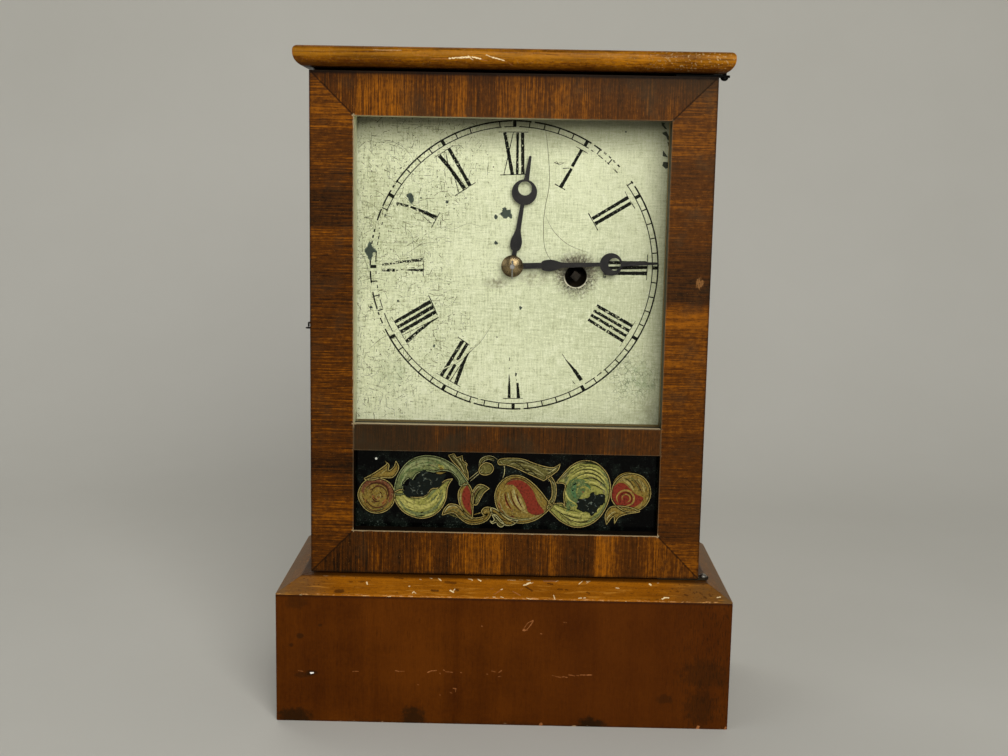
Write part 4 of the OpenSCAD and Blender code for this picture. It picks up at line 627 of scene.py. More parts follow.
dialPaint = {
    "ground": shade(206, 212, 170), "pale": shade(226, 231, 190), "dull": shade(160, 164, 122), "bright": shade(246, 249, 216),
    "stain": shade(70, 54, 32), "crack": shade(88, 88, 60), "hole": (34.1, 230.8, 5.9),
}
dialStainsAndShadows = (  # place, half width, half height, strength and tone
    # the first two are painted shadows of the hands and washer; the rest are stains and a pale patch at the upper left
    (-7.5, 226.5, 9, 5.5, .85, shade(112, 106, 78)), (12.5, 230, 11, 6.5, .8, shade(112, 104, 76)),
    (69, 177, 13, 13, .5, shade(118, 146, 98)), (-61, 177, 14, 12, .35, shade(128, 150, 106)),
    (74, 160, 16, 10, .35, shade(130, 124, 88)), (-69, 305, 8, 5, .95, shade(236, 238, 204)),
    (58, 188, 12, 10, .25, shade(124, 140, 98)), (-70, 270, 16, 30, .3, shade(160, 160, 118)),
)


def brushMarks(f, grime):  # across and upright, below nought where the paint is darker
    level = f.noise((0.12, 1, 1.1), 3, 0.7, (1, 2, 9)).atMost(f.noise((0.24, 1, 1.6), 2, 0.6, (3, 5, 4)) + 0.08)
    upright = f.noise((1.1, 1, 0.12), 3, 0.7, (6, 2, 1)).atMost(f.noise((1.6, 1, 0.24), 2, 0.6, (5, 1, 7)) + 0.08)
    grain = f.noise((1.2, 1, 1.2), 3, 0.7, (2, 4, 4))
    return (level - 0.48) + (upright - 0.48) + (grime - 0.5) * 0.35 + (grain - 0.5) * 0.7


def crazing(f):  # fine cracks in the paint at the left, and in one damp place at the lower right
    left = f.x.fade(10, -80, 0.12, 1)
    crazed = f.noise((0.05, 0.05, 0.05), 3, 0.6, (2, 6, 2)).fade(0.42, 0.58)
    net = f.net((0.3, 0.3, 0.36), (3, 0, 1)).fade(0.05, 0.01)
    broken = f.noise((0.35, 0.35, 0.35), 4, 0.7, (7, 2, 5)).fade(0.48, 0.58)
    return (net * left * crazed * broken).atLeast(net * f.away(67, 178, 19, 17).fade(1, 0.4) * broken)


def windingSmudge(f, colour):  # oil and dirt in rays round the winding hole
    holeX, holeZ, holeR = dialPaint["hole"]
    away = f.away(holeX, holeZ)
    offX, offZ = f.x - holeX, f.z - holeZ
    angle = offX.sum("ARCTAN2", offX, offZ)
    spokes = f.node("ShaderNodeCombineXYZ", {}, {"X": angle * 9, "Y": away * 0.4})
    rays = f.node("ShaderNodeTexNoise", {}, {"Vector": spokes, "Scale": 1.0, "Detail": 4.0, "Roughness": 0.7})
    flecks = f.noise((0.9, 0.9, 0.9), 4, 0.7, (6, 6, 1))
    above = f.z.fade(holeZ - 6, holeZ + 6, 0.6, 1)
    smudge = away.fade(holeR + 12, holeR - 1) * (rays * 1.9 + flecks * 0.4 - 0.6) * above
    colour = f.tint(smudge.fade(0.06, 0.5) * 0.85, colour, dialPaint["stain"])
    rim = (away + (flecks - 0.5) * 3).fade(holeR + 2.6, holeR + 0.4)
    colour = f.tint(rim * above * 0.75, colour, shade(34, 26, 14))
    dots = flecks.fade(0.54, 0.62) * away.fade(holeR + 8, holeR + 1)
    colour = f.tint(dots * 0.9, colour, shade(36, 30, 20))
    chipped = (away + (flecks - 0.5) * 2.4).fade(holeR + 0.5, holeR + 0.2) * f.z.fade(holeZ + 1, holeZ - 3)
    return f.tint(chipped * 0.85, colour, shade(222, 216, 186))


def dialFinish():
    f = Finish("dial_paint")
    patch = f.noise((0.02, 0.02, 0.02), 3, 0.5)
    grime = f.noise((0.3, 0.3, 0.3), 5, 0.65)
    colour = f.tint(patch.fade(0.3, 0.7), dialPaint["ground"], dialPaint["pale"])
    weave = brushMarks(f, grime)
    colour = f.tint(weave.fade(-0.02, -0.24) * f.x.fade(-50, 40, 0.9, 0.55), colour, dialPaint["dull"])
    colour = f.tint(weave.fade(0.0, 0.22) * 0.7, colour, dialPaint["bright"])
    craze = crazing(f)
    colour = f.tint(craze * 0.7, colour, dialPaint["crack"])
    crackle = f.net((0.5, 0.5, 0.5), (5, 0, 8)).fade(0.1, 0.03)
    damp = f.away(64, 177, 18, 20).fade(1.1, 0.2) * f.noise((0.3, 0.3, 0.3), 4, 0.7, (2, 2, 7)).fade(0.4, 0.6)
    colour = f.tint(crackle * damp * 0.75, colour, shade(74, 94, 66))
    dust = f.noise((1.0, 1.0, 1.0), 4, 0.7, (8, 1, 3)).fade(0.62, 0.7)
    colour = f.tint(dust * 0.55, colour, shade(112, 110, 80))
    # stains, and the painted shadows of the hands and washer
    for x, z, wide, tall, deep, tone in dialStainsAndShadows:
        cloud = f.noise((0.22, 0.22, 0.22), 5, 0.7, (x, 0, z)).fade(0.38, 0.62)
        colour = f.tint(f.away(x, z, wide, tall).fade(1, 0.1) * cloud * deep, colour, tone)
    colour = windingSmudge(f, colour)
    shadowed = f.z.fade(290, 309.5) * (0.55 + grime * 0.4)  # painted shadow of the top rail, darker towards the top edge and uneven
    colour = f.tint(shadowed * 0.62, colour, shade(104, 102, 74))
    # painted shadow: darker still just below the top rail
    colour = f.tint(f.z.fade(304.5, 309.8) * 0.5, colour, shade(58, 52, 34))
    # painted shade: darker towards the right, where the right stile shades the dial
    colour = f.tint(f.x.fade(30, 82) * (0.16 + grime * 0.14), colour, shade(128, 126, 96))
    height = weave * 0.5 - craze - dust * 0.3
    return f.done(f.surface(colour, grime * 0.25 + 0.4, Normal=f.bump(height, 0.06), Specular_IOR_Level=0.3))


cover("dial_plate", dialFinish())


def clearGlass():
    f = Finish("clear_pane")
    back = f.node("ShaderNodeNewGeometry", out="Backfacing")
    edge = f.node("ShaderNodeFresnel", {}, {"IOR": 1.5}) * (1 - back)
    sheer = f.node("ShaderNodeBsdfTransparent", {}, {"Color": (1, 1, 1, 1)})
    shine = f.surface((0.0, 0.0, 0.0, 1), 0.03)
    return f.done(f.node("ShaderNodeMixShader", {}, {0: edge, 1: sheer, 2: shine}))


cover("dial_glass", clearGlass())


def tabletFinish():
    f = Finish("tablet_ground")
    green = f.noise((0.11, 0.11, 0.11), 4, 0.65).fade(0.46, 0.66)
    colour = f.tint(green * 0.9, shade(1, 1, 1), shade(15, 21, 16))
    specks = f.noise((1.2, 1.2, 1.2), 4, 0.7, (3, 3, 8)).fade(0.58, 0.66) * green
    colour = f.tint(specks * 0.8, colour, shade(84, 94, 84))
    colour = f.tint(f.away(-68, 135).fade(0.75, 0.45), colour, shade(226, 226, 214))
    return f.done(f.surface(colour, 0.12, Specular_IOR_Level=0.06))


cover("tablet_glass", tabletFinish())


def metalFinish(name, tones, rough, metallic=1.0, upper=None):
    f = Finish(name)
    cloud = f.noise((0.15, 0.15, 0.15), 4, 0.6)
    brush = f.noise((1.2, 1.2, 1.2), 3, 0.6)
    colour = f.tint(cloud.fade(0.3, 0.7), tones[0], tones[1])
    if upper:  # above the middle of the dial the strap is painted black and dull, a painted shadow for the gap under the top board
        black = f.z.fade(200, 210)
        colour = f.tint(black, colour, upper)
        metallic = metallic * (1 - black)
    shine = 0.05 if upper else 0.5
    return f.done(f.surface(colour, rough + (brush - 0.5) * 0.2, Metallic=metallic, Specular_IOR_Level=shine,
                            Normal=f.bump(brush, 0.01)))


brass = metalFinish("aged_brass", (shade(104, 78, 38), shade(166, 130, 70)), 0.38)
# painted shade: the front plate, seen only through the winding hole, is tarnished brass painted darker for the shade
# inside
tarnished_shaded = metalFinish("tarnished_brass", (shade(20, 15, 8), shade(58, 44, 24)), 0.5, 0.7)
bronze = metalFinish("dull_bronze", (shade(60, 50, 36), shade(158, 138, 100)), 0.28)
steel = metalFinish("bright_steel", (shade(120, 118, 114), shade(165, 163, 158)), 0.35)
# painted shade: the winding arbor is painted near black for the shade inside the winding hole
dullShadedSteel = metalFinish("dull_steel", (shade(14, 12, 10), shade(48, 43, 36)), 0.45, 0.9)
# painted shadow: both hinge finishes turn black above the dial's middle
hinge = metalFinish("hinge_metal", (shade(32, 28, 22), shade(60, 50, 36)), 0.6, 0.4, upper=shade(7, 6, 5))
pinMetal = metalFinish("hinge_pin_metal", (shade(150, 144, 132), shade(186, 182, 172)), 0.35, 1.0, upper=shade(12, 11, 10))
blued = metalFinish("blued_steel", (shade(13, 12, 12), shade(28, 25, 22)), 0.45, 0.5)
iron = metalFinish("black_iron", (shade(20, 18, 16), shade(42, 37, 33)), 0.5, 0.8)
cover("hour_hand minute_hand", blued)
cover("hook_pin dial_pins", brass)
cover("hand_washer", bronze)
cover("hinge_straps", hinge)
cover("hinge_pins", pinMetal)
cover("door_eye latch_hook hinge_nails", iron)
cover("front_plate", tarnished_shaded)
cover("back_plate pillars pillar_nuts great_wheel centre_wheel minute_wheel hour_wheel third_wheel", brass)
cover("escape_wheel escape_bridge pendulum_bob", brass)
cover("winding_arbor", dullShadedSteel)
cover("cannon_pinion centre_pinion centre_arbor third_arbor escape_arbor ratchet_wheel click click_spring", steel)
cover("mainspring taper_pin verge suspension_post pendulum_rod movement_screws", steel)
print("glass and metal done")


class PaintPot:  # lays flat paint on an upright face, each touch a little nearer than the last
    def __init__(self, face, lift, layer):
        self.bm = bmesh.new()
        self.tone = self.bm.verts.layers.float_color.new("paint")
        self.face = face
        self.lift = lift
        self.layer = layer
        self.depth = 0

    def spot(self, point, colour):
        vert = self.bm.verts.new((point[0] * mm, (self.face - self.lift - self.layer * self.depth) * mm, point[1] * mm))
        vert[self.tone] = colour
        return vert

    def patch(self, line, colour):
        line = [point for i, point in enumerate(line) if math.dist(point, line[i - 1]) > 0.01]
        verts = [self.spot(point, colour) for point in line]
        for three in tessellate_polygon([[Vector((x, z, 0)) for x, z in line]]):
            self.bm.faces.new([verts[i] for i in three])

    def ribbon(self, line, widths, colour):
        rows = []
        for i, here in enumerate(line):
            before, after = line[max(i - 1, 0)], line[min(i + 1, len(line) - 1)]
            run = Vector((after[0] - before[0], after[1] - before[1]))
            if run.length < 1e-6:
                continue
            side = Vector((-run.y, run.x)).normalized() * (widths[i] / 2)
            rows.append([self.spot((here[0] + side.x * k, here[1] + side.y * k), colour) for k in (-1, 1)])
        for a, b in zip(rows, rows[1:]):
            self.bm.faces.new((a[0], a[1], b[1], b[0]))

    def stroke(self, line, width, colour, blunt=False):  # pointed at both ends, as a brush leaves it
        last = len(line) - 1
        widths = [width * (1 if blunt else 0.15 + 0.85 * math.sin(math.pi * i / last) ** 0.7) for i in range(len(line))]
        self.ribbon(line, widths, colour)

    def finished(self, name, material, body, thick):
        for face in self.bm.faces:
            face.normal_update()
            if face.normal.y > 0:
                face.normal_flip()
        piece = newPiece(name, self.bm, material, body)
        solid = piece.modifiers.new("thickness", "SOLIDIFY")
        solid.thickness = thick * mm
        solid.offset = -1
        return piece


def pairs(flat):
    return [(flat[i], flat[i + 1]) for i in range(0, len(flat), 2)]


def softLine(points, closed, steps=5):  # a smooth line through the points; a doubled point stays sharp
    count = len(points)
    line = []
    for i in range(count if closed else count - 1):
        a, b, c, d = (points[k % count] if closed else points[min(max(k, 0), count - 1)] for k in (i - 1, i, i + 1, i + 2))
        if b == c:
            continue
        for step in range(steps):
            t = step / steps
            line.append(tuple(0.5 * (2 * q + (r - p) * t + (2 * p - 5 * q + 4 * r - s) * t * t
                                     + (3 * q - p - 3 * r + s) * t ** 3) for p, q, r, s in zip(a, b, c, d)))
    return line if closed else line + [points[-1]]


chapter = {"x": 1.85, "y": -18.0, "z": 234.95, "turn": -0.75, "proud": 0.02, "thick": 0.012, "rub": 0.4, "seed": 8}
numeralMarks = {  # hour: marks as side, radius and width of each point, in mm, side clockwise
    12: (((-5.1, 68.8, 1.75), (-1.1, 47.6, 1.95)), ((-.7, 68.8, .45), (-5.4, 47.6, .45)),
        ((1.5, 68.7, 1.35), (1.4, 47.5, 1.5)), ((4, 68.7, 1.75), (4.3, 47.5, 1.9)), ((-8.3, 69, .35), (7, 69, .35)),
        ((-7.3, 47.3, .5), (6.1, 47.7, .5))),
    1: (((-.4, 69.2, 1.7), (-.3, 59.6, 1.6)), ((0, 58.6, 1.5), (0, 47.8, 2)), ((-3.7, 69.3, .3), (3.2, 69.3, .4)),
        ((-3.5, 47.5, .5), (2.6, 47.6, .5)), ((-3.9, 56.3, .3), (-2.4, 57.4, .45), (-.7, 58.4, .2)),
        ((-9.4, 56.7, .3), (-7.4, 57.1, .5), (-6.4, 57, .3), (-4.8, 59.1, .2))),
    2: (((-2.1, 68.8, 1.8), (-1.7, 47.5, 1.7)), ((1.1, 68.7, 1.7), (1.3, 47.4, 1.9)),
        ((-5.5, 68.8, .35), (-1.1, 68.7, .35)), ((-.1, 68.9, .3), (4.6, 69.1, .5)),
        ((-5.2, 47.1, .5), (5.1, 47.1, .45))),
    3: (((-2.8, 69, 1.7), (-2.6, 46.9, 1.7)), ((-.3, 69, 1.75), (.2, 46.9, 1.7)), ((2.8, 68.9, 2), (2.8, 46.8, 1.8)),
        ((-7.1, 69.2, .45), (6.3, 68.9, .45)), ((-5.5, 46.7, .4), (5.3, 46.5, .4))),
    4: (((-4.7, 68.8, 1.75), (-4.6, 47.3, 1.75)), ((-1.7, 68.7, 1.7), (-1.6, 47.2, 1.55)),
        ((1.3, 68.7, 1.6), (1.1, 47.2, 1.65)), ((4.5, 68.7, 1.8), (4.2, 58.7, 1.7)),
        ((4.3, 58, 1.4), (3.9, 47.2, 1.6)), ((-7.7, 68.9, .3), (8.1, 68.8, .25))),
    5: (((-1.4, 69.1, 2.1), (-1, 63.8, 1.9), (-.3, 59.1, 1), (.3, 56, .5), (.5, 51.7, .2)),
        ((2.4, 69.2, .3), (2.8, 68, .4), (2.6, 67, .2)), ((2.1, 64.6, .4), (2.3, 64, .3))),
    6: (((-2.8, 68.9, 1.9), (-2.2, 60.7, 1.2)), ((-1.7, 59.5, .5), (-1.6, 58.9, .4)),
        ((-1.2, 57.2, .9), (-1.6, 55.5, .9)), ((2.1, 68.8, 1.75), (2.1, 60.2, .9), (2.2, 56.3, .3)),
        ((2, 53.2, .6), (2.1, 52.7, .5)), ((2.1, 49, .5), (1.9, 47.3, .4)), ((-5.1, 69, .3), (5.4, 69.1, .4)),
        ((.2, 68.5, .2), (.1, 66.9, .2))),
    7: (((-4.5, 68.5, 2), (-2.8, 59.2, 2), (-2.2, 54.1, 1.3), (-2.1, 47.5, .7)),
        ((-1.2, 68.4, .5), (-2.1, 47.5, .3)), ((.8, 68.4, 1.75), (.9, 59.5, 1.75)), ((1, 57, 1.7), (.9, 46.9, 1.7)),
        ((4.2, 68.4, 1.85), (3.8, 46.8, 1.9)), ((-7.5, 68.5, .35), (6.8, 68.6, .35)),
        ((-.6, 46.9, .5), (6.8, 46.3, .45))),
    8: (((-6, 68.1, 2), (-4.2, 59.6, 1.8), (-3.2, 51.2, .9), (-3.2, 47.1, .4)), ((-2, 68.1, .35), (-3.2, 47.1, .3)),
        ((0, 68.2, 1.75), (.1, 46.7, 1.95)), ((2.9, 68.2, 1.8), (3, 46.7, 2.1)), ((5.9, 68.2, 1.65), (6, 46.6, 2.1)),
        ((-9.1, 68.3, .35), (9.3, 68.4, .3)), ((-1.8, 47, .5), (9.5, 45.8, .5))),
    9: (((-1.9, 68.5, 1.7), (-1.9, 61.8, 1.6)), ((-2, 61.1, .9), (-1.8, 60.2, .5)),
        ((-1.5, 58.6, .7), (-1.7, 57.4, .4)), ((-1.8, 55.9, .5), (-1.7, 54.8, .9), (-1.8, 47.2, 1.5)),
        ((.9, 68.4, 1.3), (1.5, 64.5, 1.1), (1.7, 61.8, .8)), ((2.1, 61.4, 1.3), (2.8, 54.8, 1.5), (3.7, 47.2, 1.9)),
        ((-4.8, 47, .35), (5.2, 46.9, .35))),
    10: (((-2.1, 69, 1.5), (-.3, 62.8, 1.4)), ((-.1, 61.8, 1.2), (.2, 60.6, 1.4), (1, 55.4, 1.8), (1.8, 47.5, 2.3)),
        ((-.5, 55.8, .4), (-1.7, 50.2, .35), (-2.2, 47.6, .25)), ((1.2, 69.2, .25), (4.8, 69.3, .25)),
        ((-3.9, 47.1, .45), (5.1, 47.3, .45))),
    11: (((-5, 68.7, 2.05), (-3.5, 61.2, 1.9), (-2.1, 47.5, 2.1)),
        ((-1.1, 68.6, .35), (-3.3, 62.8, .6), (-3.8, 54.9, .3), (-5.6, 47.4, .45)),
        ((1.1, 69.4, 1.75), (1.1, 47.6, 1.95)), ((-7.7, 69, .35), (3.9, 69.4, .35)),
        ((-8.1, 47, .5), (4.4, 47.6, .45))),
}


def onDial(hour, side, radius):
    turn = math.radians(hour * 30 + chapter["turn"])
    return (chapter["x"] + radius * math.sin(turn) + side * math.cos(turn),
            chapter["z"] + radius * math.cos(turn) - side * math.sin(turn))


def inkFinish(name, tones, worn, rubbed=()):  # worn is how much of the paint has gone, rubbed where more of it has
    f = Finish(name)
    wear = f.noise((0.9, 0.9, 0.9), 5, 0.65, (3, 1, 2))
    colour = f.tint(wear.fade(0.3, 0.7), tones[0], tones[1])
    for x, z, wide, tall, amount in rubbed:
        wear = wear + f.away(x, z, wide, tall).fade(1.2, 0.5, 0, amount)
    there = wear.fade(0.7 - worn, 0.66 - worn)
    return f.done(f.surface(colour, 0.6, Specular_IOR_Level=0.08, Alpha=there))


def makeNumerals(ink):
    chance = random.Random(chapter["seed"])
    pot = PaintPot(chapter["y"], chapter["proud"], 0.0)
    for hour, marks in numeralMarks.items():
        for mark in marks:
            line, widths = [], []
            for (side, radius, width), (side2, radius2, width2) in zip(mark, mark[1:]):
                steps = max(2, int(math.dist((side, radius), (side2, radius2)) / 0.9))
                for step in range(steps):
                    share = step / steps
                    line.append(onDial(hour, side + (side2 - side) * share, radius + (radius2 - radius) * share))
                    widths.append(width + (width2 - width) * share)
            line.append(onDial(hour, *mark[-1][:2]))
            widths.append(mark[-1][2])
            rub = chapter["rub"]
            widths = [width * (1 + chance.uniform(-rub, rub * 0.6) * min(1, 0.6 / width)) for width in widths]
            pot.ribbon(line, widths, (1, 1, 1, 1))
    return pot.finished("numerals", ink, "case", chapter["thick"])


numeralRubs = (  # place, half width, half height and loss
    (-60, 238, 20, 12, .09), (46, 205, 20, 16, .05), (-56, 262, 14, 10, .06), (-40, 195, 18, 12, .04),
)
makeNumerals(inkFinish("numeral_ink", (shade(12, 13, 9), shade(32, 34, 24)), 0.05, numeralRubs))

track = {
    "Outer line radius": 74.65, "Inner line radius": 71.75, "Outer line width": 0.8, "Inner line width": 0.5,
    "Tick width": 0.6, "Block width": 1.75, "Ink thickness": 0.012, "Pieces round": 300, "Wear": 0.36, "Seed": 5,
}
bareSpots = (  # clock angle, reach in mm and loss
    (41, 14, 0.14), (51, 5, 0.5), (276, 30, 0.16), (250, 14, 0.1), (216, 22, -0.1), (330, 26, -0.12), (120, 30, -0.08),
)


def makeTrack(ink):
    g = Recipe("minute_track", track)
    outer, inner, thick, seed = (g.asked(label) for label in ("Outer line radius", "Inner line radius", "Ink thickness", "Seed"))
    place = g.node("GeometryNodeInputPosition")
    apart = g.node("ShaderNodeSeparateXYZ", {}, {0: place}, "X")
    angle = apart.sum("ARCTAN2", Flow(g, apart.socket.node.outputs["Y"]), apart)
    index = g.node("GeometryNodeInputIndex")
    loss = g.asked("Wear")
    between = (track["Outer line radius"] + track["Inner line radius"]) / 2
    for degrees, reach, amount in bareSpots:
        turn = math.radians(degrees)
        spot = (between * math.sin(turn), between * math.cos(turn), 0)
        off = g.node("ShaderNodeVectorMath", {"operation": "DISTANCE"}, {0: place, 1: spot}, "Value")
        loss = loss + off.fade(reach, reach * 0.4) * amount

    def ring(count, radius, brick, keep, width=0.12):  # one brick after another round a circle
        points = g.node("GeometryNodeMeshCircle", {"fill_type": "NONE"}, {"Vertices": count, "Radius": radius}, "Mesh")
        uneven = g.chance((1 - width, 1, 1), (1 + width, 1, 1), seed, "FLOAT_VECTOR")
        return g.node("GeometryNodeInstanceOnPoints", {}, {"Points": points, "Selection": keep, "Instance": brick,
                                                           "Rotation": g.turned(angle), "Scale": uneven})

    def brick(across, along):
        size = g.node("ShaderNodeCombineXYZ", {}, {"X": across, "Y": along, "Z": thick})
        return g.node("GeometryNodeMeshCube", {}, {"Size": size}, "Mesh")

    pieces = g.asked("Pieces round")
    there = g.noise(place, 0.45, seed * 3.1) + loss < 1.0
    ticks = g.noise(place, 0.3, seed * 7.7) + loss < 1.05
    hours = index.sum("MODULO", index, 5) < 0.5
    joined = [ring(pieces, outer, brick(g.asked("Outer line width"), outer * (2.02 * math.pi) / pieces), there),
              ring(pieces, inner, brick(g.asked("Inner line width"), inner * (2.02 * math.pi) / pieces), there),
              ring(60, (outer + inner) / 2, brick(outer - inner, g.asked("Tick width")), ticks * (1 - hours), 0.02),
              ring(60, (outer + inner) / 2, brick(outer - inner, g.asked("Block width")), hours, 0.04)]
    whole = g.node("GeometryNodeJoinGeometry", {}, {"Geometry": joined})
    middle = (chapter["x"], chapter["y"] - chapter["proud"], chapter["z"])
    g.grown(whole, middle, math.radians(chapter["turn"]), ink, "case", "dial_paint")


makeTrack(inkFinish("track_ink", (shade(14, 15, 10), shade(34, 36, 25)), 0.0, ((51, 289, 13, 13, .12),)))

hairlines = {
    "Wide": 160.0, "Tall": 158.0, "How many": 4200, "Shortest": 0.6, "Longest": 4.8, "Thinnest": 0.11, "Thickest": 0.26,
    "Wander": 0.8, "Paint thickness": 0.01, "Seed": 14,
}
specks = {
    "Wide": 160.0, "Tall": 158.0, "How many": 1900, "Smallest": 0.1, "Largest": 0.36, "Wander": 0.2,
    "Paint thickness": 0.012, "Seed": 23,
}
dialField = {"x": 0.6, "z": 232.6, "proud": 0.008}  # middle of the field of marks, and how far they stand off the sheet


def scatter(name, sizes, brick, turn, scaled, material, crowd, waves):  # many small marks all over the dial
    g = Recipe(name, sizes)
    seed, wide, tall = g.asked("Seed"), g.asked("Wide"), g.asked("Tall")
    low = g.node("ShaderNodeCombineXYZ", {}, {"X": wide * -0.5, "Y": tall * -0.5})
    high = g.node("ShaderNodeCombineXYZ", {}, {"X": wide * 0.5, "Y": tall * 0.5})
    spread = g.chance(low, high, seed, "FLOAT_VECTOR")
    points = g.node("GeometryNodePoints", {}, {"Count": g.asked("How many"), "Position": spread})
    place = g.node("GeometryNodeInputPosition")
    across = g.node("ShaderNodeSeparateXYZ", {}, {0: place}, "X")
    up = Flow(g, across.socket.node.outputs["Y"])
    keep = g.noise(place, 0.035, seed * 1.3) + across.fade(30, -80, -crowd, crowd) - up.fade(-10, -70) * 0.22 > 0.5
    placed = g.node("GeometryNodeInstanceOnPoints", {}, {"Points": points, "Selection": keep, "Instance": brick(g),
                                                         "Rotation": g.turned(turn(g)), "Scale": scaled(g)})
    whole = g.node("GeometryNodeRealizeInstances", {}, {"Geometry": placed})
    push = g.node("ShaderNodeTexNoise", {}, {"Vector": place, "Scale": waves, "Detail": 2.0}, "Color")
    push = g.node("ShaderNodeVectorMath", {"operation": "MULTIPLY_ADD"}, {0: push, 1: (1, 1, 0), 2: (-0.5, -0.5, 0)})
    push = g.node("ShaderNodeVectorMath", {"operation": "SCALE"}, {0: push, "Scale": g.asked("Wander")})
    whole = g.node("GeometryNodeSetPosition", {}, {"Geometry": whole, "Offset": push})
    middle = (dialField["x"], chapter["y"] - dialField["proud"], dialField["z"])
    g.grown(whole, middle, 0, material, "case", "dial_paint")


def hairBrick(g):
    size = g.node("ShaderNodeCombineXYZ", {}, {"X": 1.0, "Y": 1.0, "Z": g.asked("Paint thickness")})
    return g.node("GeometryNodeMeshCube", {}, {"Size": size, "Vertices X": 4}, "Mesh")


def hairTurn(g):  # mostly level or upright, as old paint cracks
    seed = g.asked("Seed")
    quarter = (g.chance(0.0, 1.0, seed + 1) > 0.5) * (math.pi / 2)
    lean = g.chance(-1.0, 1.0, seed + 4)
    return quarter + lean * lean * lean * 0.9


def anyTurn(g):
    return g.chance(0.0, 6.28, g.asked("Seed") + 1)


def hairScale(g):
    seed = g.asked("Seed")
    longer = g.chance(0.0, 1.0, seed + 2) ** 3
    length = g.asked("Shortest") + (g.asked("Longest") - g.asked("Shortest")) * longer
    thick = g.chance(g.asked("Thinnest"), g.asked("Thickest"), seed + 3)
    return g.node("ShaderNodeCombineXYZ", {}, {"X": length, "Y": thick, "Z": 1.0})


def speckBrick(g):
    return g.node("GeometryNodeMeshCylinder", {}, {"Vertices": 7, "Radius": 1.0, "Depth": g.asked("Paint thickness")}, "Mesh")


def speckScale(g):
    seed = g.asked("Seed")
    size = g.asked("Smallest") + (g.asked("Largest") - g.asked("Smallest")) * g.chance(0.0, 1.0, seed + 2) ** 4
    return g.node("ShaderNodeCombineXYZ", {}, {"X": size, "Y": size * g.chance(0.6, 1.4, seed + 3), "Z": 1.0})


hairInk = inkFinish("hairline_dirt", (shade(50, 50, 32), shade(104, 102, 70)), 0.1)
scatter("dial_hairlines", hairlines, hairBrick, hairTurn, hairScale, hairInk, 0.42, 0.35)
speckInk = inkFinish("speck_dirt", (shade(40, 38, 24), shade(84, 80, 54)), -0.2)
scatter("dial_specks", specks, speckBrick, anyTurn, speckScale, speckInk, 0.3, 1.6)
print("dial markings done")

dialWear = {
    "bare": shade(58, 70, 58), "bareLight": shade(84, 98, 80), "crack": shade(92, 90, 62), "pale": shade(216, 220, 178),
    "dark": shade(56, 62, 42), "lift": 0.034, "layer": 0.004, "thick": 0.003, "seed": 4, "ragged": 0.3, "inner": 0.82,
}
bigChips = (
    (-72.5, 237.1, -74.4, 239.2, -75.6, 242.1, -74.4, 244.5, -73, 247, -71.7, 244.5, -70.9, 243.4, -69.4, 241.8,
     -70.9, 241.3, -71.7, 239.7),
    (-51.7, 266.8, -53.6, 269.7, -54, 271.4, -52.5, 272.2, -51.2, 271.3, -50.5, 269.8, -50.7, 267.5),
    (-6.4, 262.2, -4.9, 263.6, -4.6, 265.2, -2.9, 265.7, -2.2, 264.2, -.6, 264.8, -.2, 262.8, .6, 261.6, -.2, 259.8,
     -1.6, 260.8, -2.6, 260.1, -4.4, 260.6, -5.2, 261.6),
)
edgeChips = (  # flakes lost at the right, near the top
    (75.6, 310.0, 77.5, 309.8, 77.0, 308.7, 78.5, 306.6, 77.5, 306.8, 75.9, 308.5),
    (76.2, 305.1, 78.2, 305.7, 80.3, 302.6, 80.2, 300.7, 78.9, 301.6, 78.1, 303.3, 76.7, 304.1),
    (79.1, 300.3, 80.4, 299.9, 80.4, 297.2, 79.4, 298.1),
    (77.0, 296.1, 79.8, 292.4, 77.0, 293.0),
    (77.1, 290.2, 80.2, 289.9, 80.7, 287.4, 78.5, 286.7, 77.0, 288.3),
)
smallChips = (  # x, z, half width, half height
    (-33.3, 267.9, 1, .8), (-7.9, 260.7, .9, 1.3), (-7.7, 247.3, 1, 1.3), (5.7, 213.8, .9, 1), (-72.3, 212.8, 1, .8),
    (-58.3, 216.3, .6, .6), (-39.2, 193, .7, .9), (-6.3, 198.3, .5, .5), (49.2, 230.8, .6, .7), (57.7, 305, .5, .5),
    (-50.9, 281.8, .4, .4), (-46.7, 269.7, .5, .5), (3.9, 179.2, .4, .7), (-43.5, 262.8, .5, .6), (-29.5, 264.5, .4, .4),
)
